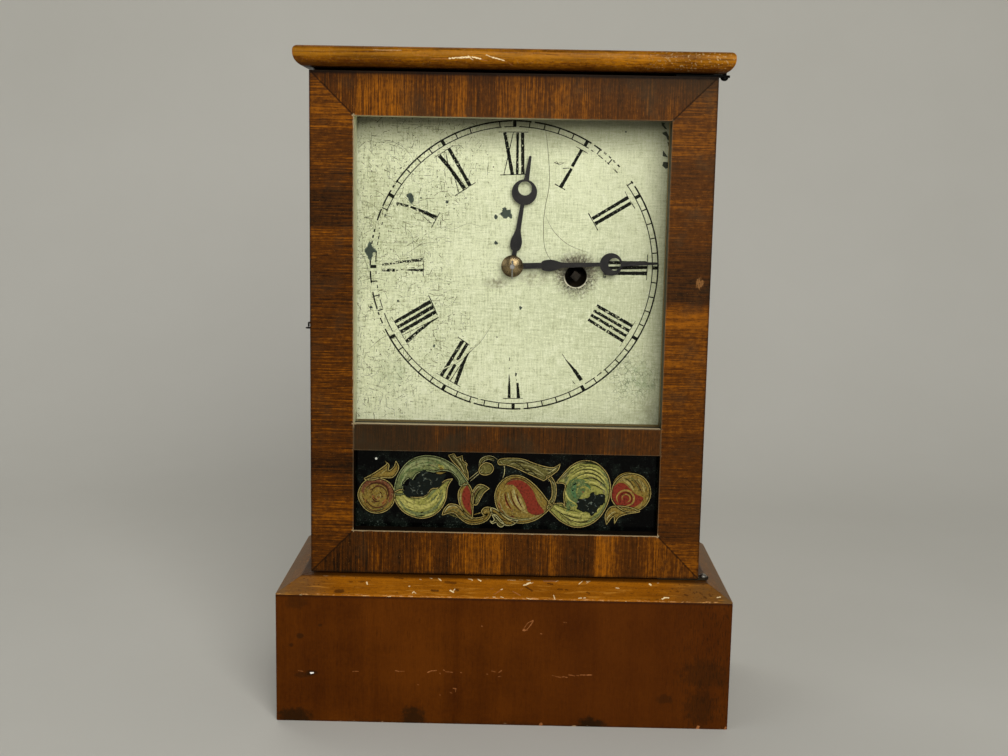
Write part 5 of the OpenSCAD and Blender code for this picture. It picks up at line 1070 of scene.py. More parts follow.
cracks = (  # width, tone, points
    (.3, "crack", (16.3, 309.7, 16.9, 304.2, 18.2, 294.2, 19.3, 279, 17.3, 265.7, 16.7, 255.5, 17.8, 244.7,
                   22.1, 237.5, 26.5, 233.2)),
    (.22, "crack", (21.4, 288.7, 22.6, 289.6, 23.6, 288.4, 24.8, 289.1, 27, 288.8)),
    (.22, "crack", (17.5, 262, 22, 254, 30, 247, 41, 243)),
    (.65, "pale", (-39.9, 178, -35.6, 180.3, -30.4, 182.9, -25.5, 186.1, -22.4, 188.9, -18.8, 192.6, -15.8, 195.5,
                   -12.4, 200.4, -9.5, 205.5)),
    (.24, "dark", (-39.5, 177.5, -35.2, 179.8, -30, 182.4, -25.1, 185.6, -22, 188.4, -18.4, 192.1, -15.4, 195,
                   -12, 199.9, -9.1, 205)),
    (.15, "dark", (-76, 300, -70, 297.5, -64, 298.5, -57, 296, -52, 291, -49, 285)),
    (.16, "dark", (-79, 268, -72, 266, -66, 261, -60, 260)),
    (.22, "dark", (-80, 243, -77, 240, -75, 236, -73, 229)),
    (.14, "dark", (-66, 291, -63, 286, -64, 281, -60, 277, -61, 271)),
    (.14, "crack", (-44, 252, -36, 255, -30, 254, -22, 257, -14, 255)),
    (.16, "dark", (-58, 256, -52, 252, -50, 247, -44, 245)),
    (.2, "crack", (-78, 226, -71, 228, -64, 226.5)),
    (.2, "crack", (-55, 240, -46, 246, -38, 247)),
    (.2, "crack", (-74, 190, -66, 197, -58, 199)),
)


def ragged(line, amount, chance):  # the outline with each of its points pushed a little
    return [(x + chance.uniform(-amount, amount), z + chance.uniform(-amount, amount)) for x, z in line]


def middleOf(line):
    return sum(x for x, z in line) / len(line), sum(z for x, z in line) / len(line)


def makeDialWear():
    chance = random.Random(dialWear["seed"])
    pot = PaintPot(chapter["y"], dialWear["lift"], dialWear["layer"])
    for width, tone, flat in cracks:
        pot.depth += 0.2
        pot.stroke(softLine(pairs(flat), False), width, dialWear[tone])
    inner = dialWear["inner"]
    for flat in bigChips:
        line = softLine(pairs(flat), True, 3)
        pot.depth = 3
        pot.patch(ragged(line, dialWear["ragged"], chance), dialWear["bareLight"])
        middle = middleOf(line)
        within = [(middle[0] + (x - middle[0]) * inner, middle[1] + (z - middle[1]) * inner) for x, z in line]
        pot.depth = 4
        pot.patch(ragged(within, dialWear["ragged"] / 2, chance), dialWear["bare"])
    for flat in edgeChips:
        pot.patch(ragged(pairs(flat), 0.2, chance), dialWear["dark"])
    for x, z, wide, tall in smallChips:
        line = []
        for step in range(11):
            angle = 2 * math.pi * step / 11
            reach = chance.uniform(0.6, 1.15)
            line.append((x + wide * reach * math.cos(angle), z + tall * reach * math.sin(angle)))
        pot.patch(line, dialWear["bare"])
    pot.finished("dial_wear", paintFinish("dial_loss", 0.5), "case", dialWear["thick"])


def paintFinish(name, gloss):  # paint whose colour is laid on point by point
    f = Finish(name)
    paint = f.node("ShaderNodeAttribute", {"attribute_name": "paint"}, out="Color")
    streak = f.noise((0.8, 0.8, 0.8), 4, 0.65, (3, 1, 4))
    colour = f.tint(streak.fade(0.45, 0.68) * 0.62, paint, shade(20, 20, 10))
    if gloss < 0.3:  # thick strokes show on the glossy pane, but not on its red
        notRed = f.node("ShaderNodeSeparateColor", {}, {0: paint}, "Green").fade(0.025, 0.06)
        thick = f.noise((1.1, 1.1, 1.1), 4, 0.7, (6, 2, 2)).fade(0.52, 0.68)
        colour = f.tint(thick * notRed * 0.34, colour, shade(190, 180, 116))
    flaked = f.noise((1.5, 1.5, 1.5), 4, 0.7, (1, 7, 2)).fade(0.66, 0.71)
    colour = f.tint(flaked * 0.7, colour, shade(14, 17, 13))
    return f.done(f.surface(colour, gloss, Specular_IOR_Level=0.06 if gloss < 0.3 else 0.3))


makeDialWear()
print("dial wear done")

tablet = {
    "face": -31.0, "lift": 0.02, "layer": 0.008, "thick": 0.006, "outline": 0.5, "seed": 12,
    "gold": (158, 140, 80), "ochre": (130, 107, 46), "rose": (110, 66, 42), "roseDark": (74, 42, 24),
    "moss": (104, 112, 68), "mossLight": (132, 140, 94), "leafGreen": (86, 104, 60), "leafDark": (40, 46, 20),
    "teal": (70, 104, 66), "lime": (142, 140, 68), "limeLight": (174, 168, 92), "amber": (150, 96, 46),
    "spiral": (146, 116, 54), "olive": (98, 92, 46), "oliveLight": (136, 130, 84), "oliveDark": (38, 34, 14),
    "red": (122, 46, 31), "redDark": (80, 30, 14), "ground": (3, 3, 2), "worn": (28, 35, 31), "wornLight": (88, 98, 90),
    "straw": (176, 168, 116),
}
coats = {"brushed": 28, "red": 46, "rimShade": 94, "rim": 96, "worn": 98}  # how many layers of paint lie below each
scrollShapes = (  # name, fill, edge, outline in mm across and up
    ("leftTail", "ochre", "gold", (-74.1, 124.2, -69.6, 126.9, -64.9, 130.2, -62.4, 132.4, -63.3, 133.8, -63.3, 133.8,
     -61.3, 131.9, -61.6, 129.2, -60.5, 129.1, -58.5, 131.1, -57.6, 134, -57.6, 134, -56.2, 130.9, -57.1, 127.9,
     -59.7, 125.2, -64.9, 125, -69.6, 123.7)),
    ("leftDisc", "ochre", "gold", (-77.4, 115.4, -75.6, 120.8, -71.5, 124.4, -66, 124.6, -61, 122.4, -58.3, 117.6,
     -58.6, 112.2, -61.6, 108, -66.4, 106, -71.6, 106.8, -75.4, 110.2)),
    ("greenHorn", "moss", "mossLight", (-58.1, 116.7, -57.6, 123.2, -55, 129.1, -50.8, 134, -45.1, 136.7, -39.9, 137.2,
     -34.7, 136.2, -30, 134.1, -25.7, 131, -22.6, 127.1, -19.6, 122.6, -19.6, 122.6, -24.1, 121.7, -24.7, 124.6,
     -27.3, 127.8, -30.4, 129.3, -34.1, 129.5, -37.7, 128.6, -40.9, 129.1, -44, 128.7, -47.1, 127.1, -49.2, 124.1,
     -51.3, 124.9, -53.4, 122.7, -54.1, 119.5, -53.3, 116.8)),
    ("yellowHorn", "lime", "gold", (-58.1, 117.2, -57.6, 112.4, -54.3, 107.6, -49.6, 104.8, -43.8, 103.6, -38, 105.3,
     -33.6, 109.4, -31.3, 114.6, -30.8, 119.4, -29.8, 122.4, -28, 125.1, -28, 125.1, -31.1, 124.5, -33.7, 122.8,
     -35.6, 120.1, -38.9, 119.5, -41.3, 116.5, -44.1, 115, -48.6, 114.8, -51.8, 115.8, -54.1, 118.9)),
    ("blackHeart", "worn", None, (-54.1, 123.2, -52.6, 121.1, -50.6, 122.4, -51, 125, -48.5, 124, -46.8, 125.4,
     -45.4, 127.5, -43.9, 129, -41, 128.8, -38.4, 127.7, -35.2, 127.4, -31.7, 127.2, -32.3, 125.4, -33.2, 123.6,
     -34.6, 120.6, -37.5, 120.2, -39.8, 119.3, -40.9, 116.9, -44.4, 115, -47.9, 115.6, -50.2, 114.6, -52.6, 115.5,
     -53.7, 117.8, -52.6, 119.6, -54.3, 121.4)),
    ("ochrePatch", "ochre", None, (-35.4, 132.7, -32.5, 131.4, -31.2, 129, -34.1, 127.4, -36.7, 127.9, -35.4, 130)),
    ("redLeafRim", "ochre", "gold", (-20.9, 123.1, -18.5, 120.7, -17.2, 116.5, -17.1, 111.1, -17.5, 103.8, -17.5, 103.8,
     -21.2, 106.7, -24, 111, -25, 116.3, -24, 120.1)),
    ("redLeaf", "red", None, (-20.4, 121.8, -20.4, 121.8, -18.7, 118.1, -18.6, 112.7, -17.8, 105.7, -17.8, 105.7,
     -21.5, 109.9, -23, 114.7, -22.4, 119)),
    ("fern", "olive", "gold", (-30.3, 137.6, -30.3, 137.6, -27.4, 138.3, -26.1, 136.5, -23.2, 137.5, -23.2, 137.5,
     -22.7, 134.8, -20.7, 133.3, -21, 131.1, -20.1, 128.7, -19.9, 124.5, -19.9, 124.5, -22, 127.6, -24.7, 131,
     -27.9, 134.2)),
    ("bud", "olive", "gold", (-13.2, 132.6, -10.9, 134, -8, 133.3, -6.8, 130.9, -8.2, 128.4, -11.1, 127.5, -13.7, 128.3,
     -14.3, 130.5)),
    ("lowLeaf", "ochre", "gold", (-33.3, 105.5, -33.3, 105.5, -32.3, 108.6, -29.7, 111.5, -26.5, 111.4, -24.4, 110.4,
     -21.8, 107.5, -17.5, 104.5, -12.3, 105, -9.4, 106.9, -11.2, 105.8, -12.6, 108, -10.8, 110.1, -7.6, 109.9,
     -7.6, 107, -9.6, 103.4, -14.3, 101.2, -19.6, 101.3, -23.8, 103.9, -27.5, 107)),
    ("sprout", "olive", "gold", (-17.7, 113.2, -17.7, 117.5, -15.2, 121.8, -12, 122.2, -8.8, 120.3, -8.8, 120.3,
     -11.4, 118.2, -13, 115.5, -15, 111.7, -16.8, 111.6)),
    ("sStem", "ochre", "straw", (-7.9, 109.9, -5, 109.2, -2.3, 107.1, -.3, 105.4, 2.4, 103.9, 6.6, 103.5, 6.6, 103.5,
     4.1, 101.3, .9, 100.7, -2.3, 102.2, -4.9, 104.9, -7.1, 107)),
    ("berries", "olive", "straw", (-7.1, 106.4, -5.9, 103.8, -7, 102.4, -8.1, 103.2, -7, 101.6, -4.9, 102.2,
     -3.8, 100.6, -2.2, 99.8, -.7, 101.2, -2.8, 103.8, -4.9, 106)),
    ("tearRim", "ochre", "gold", (-5.8, 115.8, -4.8, 120.9, -1.7, 125.1, 2.6, 127.4, 7.5, 127.3, 12.4, 124.8,
     17.3, 120.2, 21.2, 115.3, 24.3, 111.5, 24.3, 111.5, 20.8, 107.8, 16, 104.1, 10.1, 102.2, 4.2, 102.6, -.8, 105.4,
     -4.4, 109.8)),
    ("tearRed", "red", None, (.2, 122.5, 2.5, 124.6, 7.2, 125, 11.3, 122.7, 14.2, 119.2, 16.7, 113.3, 20, 108.6,
     18, 106.8, 14.5, 106.7, 11.6, 108.4, 10.3, 112.6, 7.9, 117.3, 5.5, 120.8, 3.1, 122.6)),
    ("ribbon", "olive", "gold", (-4, 135.8, 1.4, 136.7, 8.4, 136.3, 14.3, 134.2, 20.3, 132.5, 24.6, 132.2, 27.9, 134.2,
     27.9, 134.2, 26.8, 130.9, 23.6, 128.1, 19.6, 125.1, 19.6, 125.1, 14.5, 127.3, 9.6, 129.4, 4.7, 131.6, -.2, 133.1,
     -4, 133.3)),
    ("stalk", "olive", "gold", (20.9, 127.2, 23.1, 127.5, 25.6, 123.7, 26.2, 119.3, 25.5, 114.8, 24, 112, 22.3, 113.1,
     23.9, 116.5, 24, 120.9, 23.1, 124.7)),
    ("rightDisc", "lime", "gold", (26.1, 124.1, 26.1, 124.1, 30, 129.3, 34.2, 133.7, 39.5, 136.1, 46, 135.4,
     51.5, 130.8, 54.1, 124.8, 54.2, 118.2, 52.6, 112.1, 49, 105.9, 43.2, 101.6, 36.2, 100.5, 29.6, 103.1, 25.2, 106.8,
     21.6, 110.9, 24.5, 112.6, 29.4, 113.2, 30.7, 111.6, 30.1, 117.7, 30.7, 123.2)),
    ("rightShade", "leafGreen", None, (32.4, 122.2, 34.4, 125.2, 39.3, 126.2, 43.1, 123.5, 41.1, 120.1, 39, 116.8,
     36.9, 113.4, 34.8, 111.1, 31.1, 110.2, 31.5, 113.3, 33.6, 114.4, 32.2, 118.3)),
    ("endTail", "ochre", "gold", (58.6, 112.3, 54.3, 111.3, 52.1, 107, 52.9, 102.2, 52.9, 102.2, 55.2, 105.7,
     56.7, 106.6, 57.1, 102.8, 57.1, 102.8, 59.3, 106.5, 64.1, 108.3, 70, 109.6, 64.5, 111.7)),
    ("endDisc", "ochre", "gold", (54.9, 119.5, 56.6, 125, 60.7, 128.8, 66, 129.8, 71.2, 128, 74.6, 123.6, 75.4, 118.2,
     73.2, 113.2, 68.8, 110, 63.4, 109.4, 58.4, 111.8, 55.4, 115.4)),
    ("endRed", "red", None, (54.9, 118.9, 55.7, 121.9, 58.2, 124.3, 61.1, 124.5, 63.4, 122.9, 65.9, 120.3, 68.2, 118.5,
     71.8, 116.8, 70.1, 113.8, 67.3, 112, 63.8, 111.6, 59.7, 111.8, 56.8, 114.1)),
)
brushwork = (  # shape, middle, spread of the radius, upright squash, first and last angle, widths, strokes, paints
    ("leftDisc", (-67.8, 115.4), (6.6, 9.2), 1.0, (0, 360), (.4, 1.1), 26, ("ochre", "gold", "ochre", "olive")),
    ("leftDisc", (-67.8, 115.4), (1.4, 7.6), 1.0, (0, 360), (.3, .8), 46, ("rose", "rose", "ochre", "amber", "roseDark")),
    ("greenHorn", (-44.2, 120.5), (9.0, 17.0), 1.0, (10, 185), (.5, 1.5), 70,
     ("moss", "mossLight", "moss", "leafGreen", "oliveLight")),
    ("yellowHorn", (-44.2, 120.5), (6.0, 17.0), 1.0, (180, 350), (.5, 1.4), 70,
     ("lime", "limeLight", "moss", "lime", "limeLight")),
    ("tearRim", (9.1, 115.0), (11.0, 14.5), 0.9, (80, 300), (.3, .8), 24, ("ochre", "gold", "rose", "olive")),
    ("tearRim", (2.5, 113.0), (2.0, 8.0), 1.4, (150, 290), (.3, .9), 30, ("amber", "rose", "amber", "gold", "redDark")),
    ("rightDisc", (41.5, 118.0), (9.0, 16.5), 1.1, (-40, 160), (.4, 1.0), 60,
     ("lime", "limeLight", "moss", "lime", "oliveLight", "leafDark")),
    ("rightDisc", (41.5, 118.0), (9.0, 17.0), 1.05, (190, 320), (.5, 1.2), 50, ("lime", "limeLight", "olive", "lime")),
    ("rightDisc", (38.5, 119.5), (2.0, 8.0), 1.1, (-10, 260), (.4, 1.0), 30, ("leafGreen", "teal", "lime", "moss")),
    ("endDisc", (65.1, 119.5), (6.0, 10.4), 1.0, (-20, 220), (.4, 1.0), 34, ("ochre", "gold", "olive", "ochre")),
    ("endDisc", (64.6, 117.6), (7.4, 9.6), 1.0, (200, 360), (.4, .9), 16, ("ochre", "gold")),
    ("ribbon", (8.0, 108.0), (20.0, 29.0), 1.0, (40, 120), (.3, .8), 26, ("olive", "oliveLight", "oliveDark")),
    ("lowLeaf", (-20.0, 122.0), (12.0, 21.0), 1.0, (220, 320), (.3, .8), 22, ("ochre", "gold", "olive")),
    ("leftTail", (-74.0, 140.0), (8.0, 18.0), 1.0, (270, 350), (.3, .7), 14, ("ochre", "gold", "olive")),
)
scrollLines = (  # width in mm, paint, points
    (3.2, "rose", (-75.3, 116.8, -74.1, 120.4, -71.2, 122.8, -67.1, 123.4, -63.1, 121.8, -60.7, 118.9, -60, 115.3,
     -61.3, 111.7)),
    (1.2, "roseDark", (-72.9, 119.2, -70, 121.7, -66, 122, -62.5, 120, -61.3, 116.5, -62.4, 112.9)),
    (1.2, "ochre", (-69.1, 116.9, -67.7, 118.7, -65.1, 118.8, -63.6, 116.4, -64.2, 113.4, -66.5, 111.6)),
    (.6, "roseDark", (-70.6, 116.3, -69.2, 119.3, -66, 120.3, -63, 118.2, -62.2, 114.7)),
    (1.2, "ochre", (-72.3, 113.9, -71.2, 111.5, -68.3, 110.1, -64.8, 110.4)),
    (.6, "roseDark", (-72.9, 112.7, -70.6, 109.7, -67.1, 108.9, -63.6, 110.2)),
    (.5, "roseDark", (-74.1, 111.4, -71.2, 107.9, -67.1, 107.1, -63, 108.7)),
    (.7, "roseDark", (-70, 113.9, -68.3, 112.2, -65.9, 112.5)),
    (.5, "gold", (-67.7, 115.2, -66.2, 115.8, -65.4, 114.6, -66.4, 113.4)),
    (1.6, "mossLight", (-54.4, 125.6, -51.5, 130.4, -46.9, 133.4, -41.1, 134.1)),
    (1, "mossLight", (-49.2, 129.8, -44.6, 132.3, -38.8, 132.7)),
    (1, "leafGreen", (-55.5, 121.4, -53.8, 126.2, -50.3, 130.4)),
    (.9, "mossLight", (-46.9, 135.2, -41.1, 135.9, -35.3, 134.8, -30.6, 132, -27.1, 128.5, -24.2, 125)),
    (1, "leafDark", (-30.6, 130.2, -27.1, 126.7, -24.7, 123.2)),
    (1.2, "lime", (-35.8, 131.3, -33.5, 131.6, -32.4, 129.9)),
    (.5, "oliveDark", (-37.6, 129.5, -33.5, 128.6, -30.6, 129.3)),
    (2, "limeLight", (-56, 114.8, -52.5, 111.9, -47.9, 109.6, -42, 109.7, -37.4, 112.8, -35.1, 117)),
    (1.5, "limeLight", (-54.3, 116, -50.8, 113.1, -46.7, 112)),
    (1.6, "moss", (-55.4, 111.8, -51.3, 107.7, -45.5, 106, -39.7, 107.4, -35.1, 111.6, -32.8, 117.1)),
    (1.4, "lime", (-37.4, 117.6, -35.1, 120, -33.4, 122.4)),
    (1.3, "moss", (-40.9, 114.5, -38.6, 117.5, -36.3, 119.4)),
    (1.2, "olive", (-35.2, 120.6, -32.3, 123, -29.4, 124.9)),
    (.7, "oliveDark", (-44.6, 106.4, -43.2, 107)),
    (.45, "oliveDark", (-29.2, 137, -26.6, 134.4, -24.2, 130.9, -22.5, 127.4, -21, 123.9)),
    (.35, "oliveDark", (-26.1, 136.8, -23.7, 133.9, -21.9, 129.8)),
    (.35, "straw", (-28.7, 137.6, -25.7, 135, -23.4, 131.5, -21.6, 127.4)),
    (.35, "straw", (-27.8, 137.9, -26.9, 136.2)),
    (.35, "straw", (-24.6, 136.8, -23.7, 134.5)),
    (.35, "straw", (-21.7, 135.1, -21.2, 131.6)),
    (.5, "ground", (-16.4, 110.2, -15.9, 115, -13.9, 118.9, -11.1, 120.8)),
    (.5, "roseDark", (-17.2, 113.8, -16.2, 118, -14, 120.7)),
    (.4, "straw", (-17.5, 110.2, -17.6, 115, -16.3, 119.2, -13.7, 121.5, -10.8, 121.6)),
    (.4, "straw", (-15.6, 110.9, -13.9, 115.1, -11.6, 118.4, -9, 120.1)),
    (.5, "straw", (-32.1, 106.9, -29.8, 110, -25.7, 110.6)),
    (.8, "olive", (-30.4, 107, -26.9, 108.8, -23.3, 105.9)),
    (.35, "ground", (-25.7, 107.1, -21, 103.3, -16.3, 102.5, -12.2, 103.4, -9.6, 105.6)),
    (.4, "straw", (-26.3, 106.4, -21.5, 102, -16.3, 101.3, -11.6, 102.3)),
    (.4, "straw", (-23.5, 117.9, -24, 112.5, -21.6, 106.8, -18.4, 103.9)),
    (.35, "straw", (-14.4, 132, -13.8, 135.4, -11, 137.3, -7.6, 137.5, -4.6, 135.7)),
    (.8, "olive", (-13.9, 131.7, -13, 135, -10.1, 136.6, -6.4, 135.9)),
    (.3, "straw", (-13.3, 131.7, -12.1, 134.4, -9.6, 135.8, -6.4, 135.1)),
    (.3, "straw", (-18.9, 123.8, -14.1, 128.2, -12.3, 129.1)),
    (.3, "straw", (-19.4, 125.1, -14.7, 129.2, -12.9, 130.3)),
    (.35, "straw", (-3.3, 134.9, -1.2, 132.3, -1.1, 128.4, -2, 125.7)),
    (.4, "ground", (-8.8, 108.9, -5.3, 106.9, -1.7, 103.8, 2.4, 102.5)),
    (.8, "oliveLight", (0, 135, 4, 135.9, 8.7, 135.1, 12.2, 133.7)),
    (.8, "oliveLight", (8.1, 133.3, 12.8, 132.3, 16.9, 130, 19.9, 127.7)),
    (.35, "straw", (-1.2, 135.5, 2.9, 136.7, 6.3, 136.5, 10.4, 135.2)),
    (.5, "oliveDark", (4.1, 134.4, 7, 133, 9.9, 130.4, 12.3, 128.1)),
    (.5, "oliveDark", (11.7, 131, 14.6, 128.7, 17, 126.1)),
    (.4, "oliveDark", (6.4, 134.8, 9.9, 133.7)),
    (.4, "oliveDark", (15.1, 134.1, 18.6, 132.7, 21.5, 132.4)),
    (.8, "oliveLight", (18.6, 131.8, 22.7, 131, 26.1, 132.5)),
    (.45, "straw", (21.6, 128.9, 24.4, 130.7, 26.7, 132.8)),
    (1, "ochre", (-2.6, 120.7, -1, 124.3, 1.9, 126.4, 6, 126.8, 9.5, 125.7)),
    (.5, "roseDark", (-1.5, 120.1, .2, 123.4, 3.1, 125.5, 7.1, 125.7, 10.7, 124.2, 14.2, 121)),
    (1.8, "gold", (3.5, 120.8, 4.1, 116.6, 5.9, 112.5, 9.2, 109, 11.6, 107.5)),
    (1.6, "ochre", (.3, 117.7, 1.6, 113.6, 4, 110.1, 8.1, 107.5)),
    (1.4, "gold", (6.7, 116.7, 8, 113.1, 10.1, 109.6)),
    (1.4, "ochre", (-2, 115.3, -.7, 111.2, 2.3, 107.6, 6.4, 105.3)),
    (.8, "redDark", (-.6, 118.3, .1, 114.2, 2.8, 109.4)),
    (.7, "redDark", (5.6, 117.9, 6.5, 114.3, 8.6, 110.2)),
    (.5, "redDark", (2.3, 119.6, 3, 115.4, 5.1, 111.3, 8.1, 108.4)),
    (.45, "straw", (.9, 118.4, 1.8, 114.8, 3.9, 111.3)),
    (.4, "straw", (4.1, 120.2, 5, 116.1, 7.1, 111.9)),
    (.7, "oliveLight", (-3.1, 112.9, -1.8, 109.3, 1.1, 105.8, 5.2, 104.1, 9.9, 103.9, 14.5, 104.9, 19.1, 107.4)),
    (1, "ochre", (14.2, 120.4, 17.2, 115.7, 20.2, 111.6, 22, 109.8)),
    (1.1, "limeLight", (31.4, 127.3, 36, 131.5, 41.7, 132.8, 47.6, 131.2, 51.7, 127.1)),
    (1.1, "limeLight", (33.8, 127.3, 38.3, 130.1, 44.1, 130.5, 49.4, 127.7, 52.1, 123.6)),
    (1, "limeLight", (36.7, 126.8, 41.3, 128.7, 46.5, 127.6, 50.7, 124.1)),
    (1.1, "limeLight", (40.8, 124.5, 45.4, 124.6, 49.6, 122.3, 51.9, 120.6)),
    (.4, "leafDark", (32.6, 128.5, 37.1, 131.9, 42.3, 133.1, 47.5, 132.1)),
    (.4, "leafDark", (34.3, 128.5, 39.5, 131.3, 45.2, 131.1, 50, 128.3)),
    (.5, "leafDark", (37.2, 127.7, 42.4, 129.6, 47.6, 128.2, 51.5, 124.7)),
    (.5, "leafDark", (39.6, 126.3, 44.8, 127, 49.5, 124.7, 52.2, 121.8)),
    (.4, "leafDark", (42, 123.4, 46.6, 122.9, 50.8, 120.6)),
    (2.6, "leafGreen", (33.8, 125.6, 32.8, 121.4, 33.5, 116, 31.9, 111.2)),
    (2.4, "teal", (36.2, 124.4, 35.1, 120.2, 36.4, 116.1)),
    (1.6, "leafGreen", (31.8, 113.6, 33, 110.7, 31.9, 108.8)),
    (.9, "limeLight", (31, 123.1, 31.1, 119, 32.9, 115.4, 36.5, 113.1)),
    (1.4, "lime", (38.6, 121.5, 40.9, 122.1, 43.2, 120.4, 42.7, 118)),
    (.9, "rose", (39.7, 119.4, 40.6, 119.5)),
    (.7, "ground", (34.7, 122.9, 36.8, 124)),
    (.7, "ground", (34.4, 119.9, 35.3, 120.5)),
    (1.3, "limeLight", (24.9, 111.7, 29.6, 108.8, 35.5, 107.1, 41.3, 106.6)),
    (1.2, "limeLight", (27.2, 109.9, 32, 105.9, 37.9, 104.2, 43.7, 104.9)),
    (1, "lime", (31.9, 108.8, 36.6, 108.3, 40.1, 109)),
    (.4, "leafDark", (24.3, 110.5, 29.6, 107.6, 34.9, 105.9, 40.2, 105.4)),
    (.4, "leafDark", (28.4, 108.2, 33.2, 104.7, 39.1, 103, 44.9, 103.7)),
    (.4, "leafDark", (26, 112.3, 29.5, 111.2, 34.2, 109.5, 37.7, 109)),
    (1.2, "moss", (52.1, 114, 50.5, 109.8, 47.1, 106.2, 42.5, 103.1)),
    (.6, "straw", (26.3, 124.2, 29.1, 127.3, 32.5, 130.3)),
    (.4, "leafDark", (28, 125.4, 31.4, 129.1, 34.8, 132.1)),
    (.35, "straw", (22.2, 126.2, 25, 123.3, 25.7, 119.8, 25.2, 115.9, 24.1, 113.5)),
    (.35, "straw", (21.3, 125.9, 23.7, 123, 24.3, 119.4, 23.8, 115.8, 23, 113.4)),
    (1.6, "ochre", (55.9, 124.8, 59.2, 128.5, 63.8, 129.7, 68.5, 128.6, 72.6, 125.2, 73.9, 121, 72.9, 116.8)),
    (1.4, "gold", (60.4, 126.7, 64, 124.4, 66.4, 120.9)),
    (1.3, "olive", (65, 128, 68, 124.5, 70.5, 120.4)),
    (1.1, "gold", (68.5, 127.5, 70.9, 123.9, 72.2, 119.8)),
    (.4, "oliveDark", (61.6, 127.3, 64.5, 125.6, 67, 122.1)),
    (.4, "redDark", (66.2, 126.8, 69.2, 123.3, 71.1, 119.2)),
    (.35, "oliveDark", (69.7, 126.3, 71.6, 122.2)),
    (1.1, "spiral", (58.5, 114.2, 57.8, 117.1, 59.5, 119.8, 62.6, 120.8, 65.6, 119.4, 66.8, 116.4, 65.8, 113.7,
     63.2, 112.5, 59.7, 111.8)),
    (.4, "redDark", (59.9, 114.8, 59.6, 117.5, 61, 119.3, 63.3, 119.7, 65.3, 118.2, 65.9, 115.8, 64.6, 113.6)),
    (.7, "spiral", (60.8, 115.4, 60.7, 117.5, 62.7, 118.7, 64.5, 117.6, 64.7, 115.5, 63.1, 114.3)),
    (1.5, "red", (61.8, 116.2, 63.6, 116.7)),
    (1.4, "ochre", (58.6, 111.8, 62.1, 110.1, 66.8, 110.2, 71.4, 112, 73.6, 115.1)),
    (.4, "straw", (57.5, 109.4, 55.2, 108.1, 53.2, 105.7, 52.7, 103.6)),
    (.4, "oliveDark", (58.7, 108.8, 56.4, 107.6, 55.3, 105.7)),
)
rightChip = (37.1, 111.9, 38.1, 115.5, 42.8, 116.2, 45, 119.3, 46.8, 118.1, 49.1, 118.7, 51.7, 117.6, 51.5, 114,
             48.7, 111.6, 47, 108.6, 44.8, 106.7, 43, 109.1, 40.1, 109, 37.7, 110.2)


def inside(point, line):  # even and odd crossings
    crossed = False
    for (x1, z1), (x2, z2) in zip(line, line[1:] + line[:1]):
        if (z1 > point[1]) != (z2 > point[1]) and point[0] < x1 + (point[1] - z1) / (z2 - z1) * (x2 - x1):
            crossed = not crossed
    return crossed


def paintOf(name, light=1.0):
    return tuple(c * light for c in shade(*tablet[name])[:3]) + (1,)


def brushOver(pot, chance, outlines):  # strokes in arcs, each kept inside its shape
    for name, middle, (near, far), squash, (first, last), (thin, wide), count, paints in brushwork:
        for k in range(count):
            pot.depth = coats["brushed"] + k % 16
            radius = chance.uniform(near, far)
            start = chance.uniform(first, last)
            sweep = min(chance.uniform(18, 60), last - start)
            drift = chance.uniform(-1.2, 0.6)
            line = []
            for step in range(11):
                angle = math.radians(start + sweep * step / 10)
                reach = radius + drift * step / 10
                line.append((middle[0] + reach * math.cos(angle), middle[1] + reach * squash * math.sin(angle)))
            line = [point for point in line if inside(point, outlines[name])]
            if len(line) > 3:
                pot.stroke(line, chance.uniform(thin, wide), paintOf(chance.choice(paints), chance.uniform(0.75, 1.15)))


def wearThrough(pot, chance, line):  # a bare place, with curled scrapes and crumbs of the old ground in it
    pot.depth += 1
    pot.patch(ragged(line, 0.45, chance), paintOf("worn", 0.5))
    middle = middleOf(line)
    for k in range(12):
        spot = (middle[0] + chance.uniform(-9, 9), middle[1] + chance.uniform(-5, 5))
        bend, reach = chance.uniform(0, 6.28), chance.uniform(0.8, 2.4)
        scrape = [(spot[0] + reach * math.cos(bend + i * 0.3), spot[1] + reach * math.sin(bend + i * 0.3)) for i in range(8)]
        if all(inside(point, line) for point in scrape):
            pot.depth += 0.05
            pot.stroke(scrape, 0.35, paintOf("wornLight", chance.uniform(0.4, 0.9)))
    for k in range(60):
        spot = (middle[0] + chance.uniform(-11, 11), middle[1] + chance.uniform(-7, 7))
        if inside(spot, line):
            pot.depth += 0.05
            crumb = [(spot[0] + chance.uniform(.2, .8) * math.cos(a), spot[1] + chance.uniform(.2, .6) * math.sin(a))
                     for a in [i * math.pi / 4 for i in range(8)]]
            pot.patch(crumb, paintOf("wornLight" if k % 3 == 0 else "worn", chance.uniform(0.4, 1.15)))


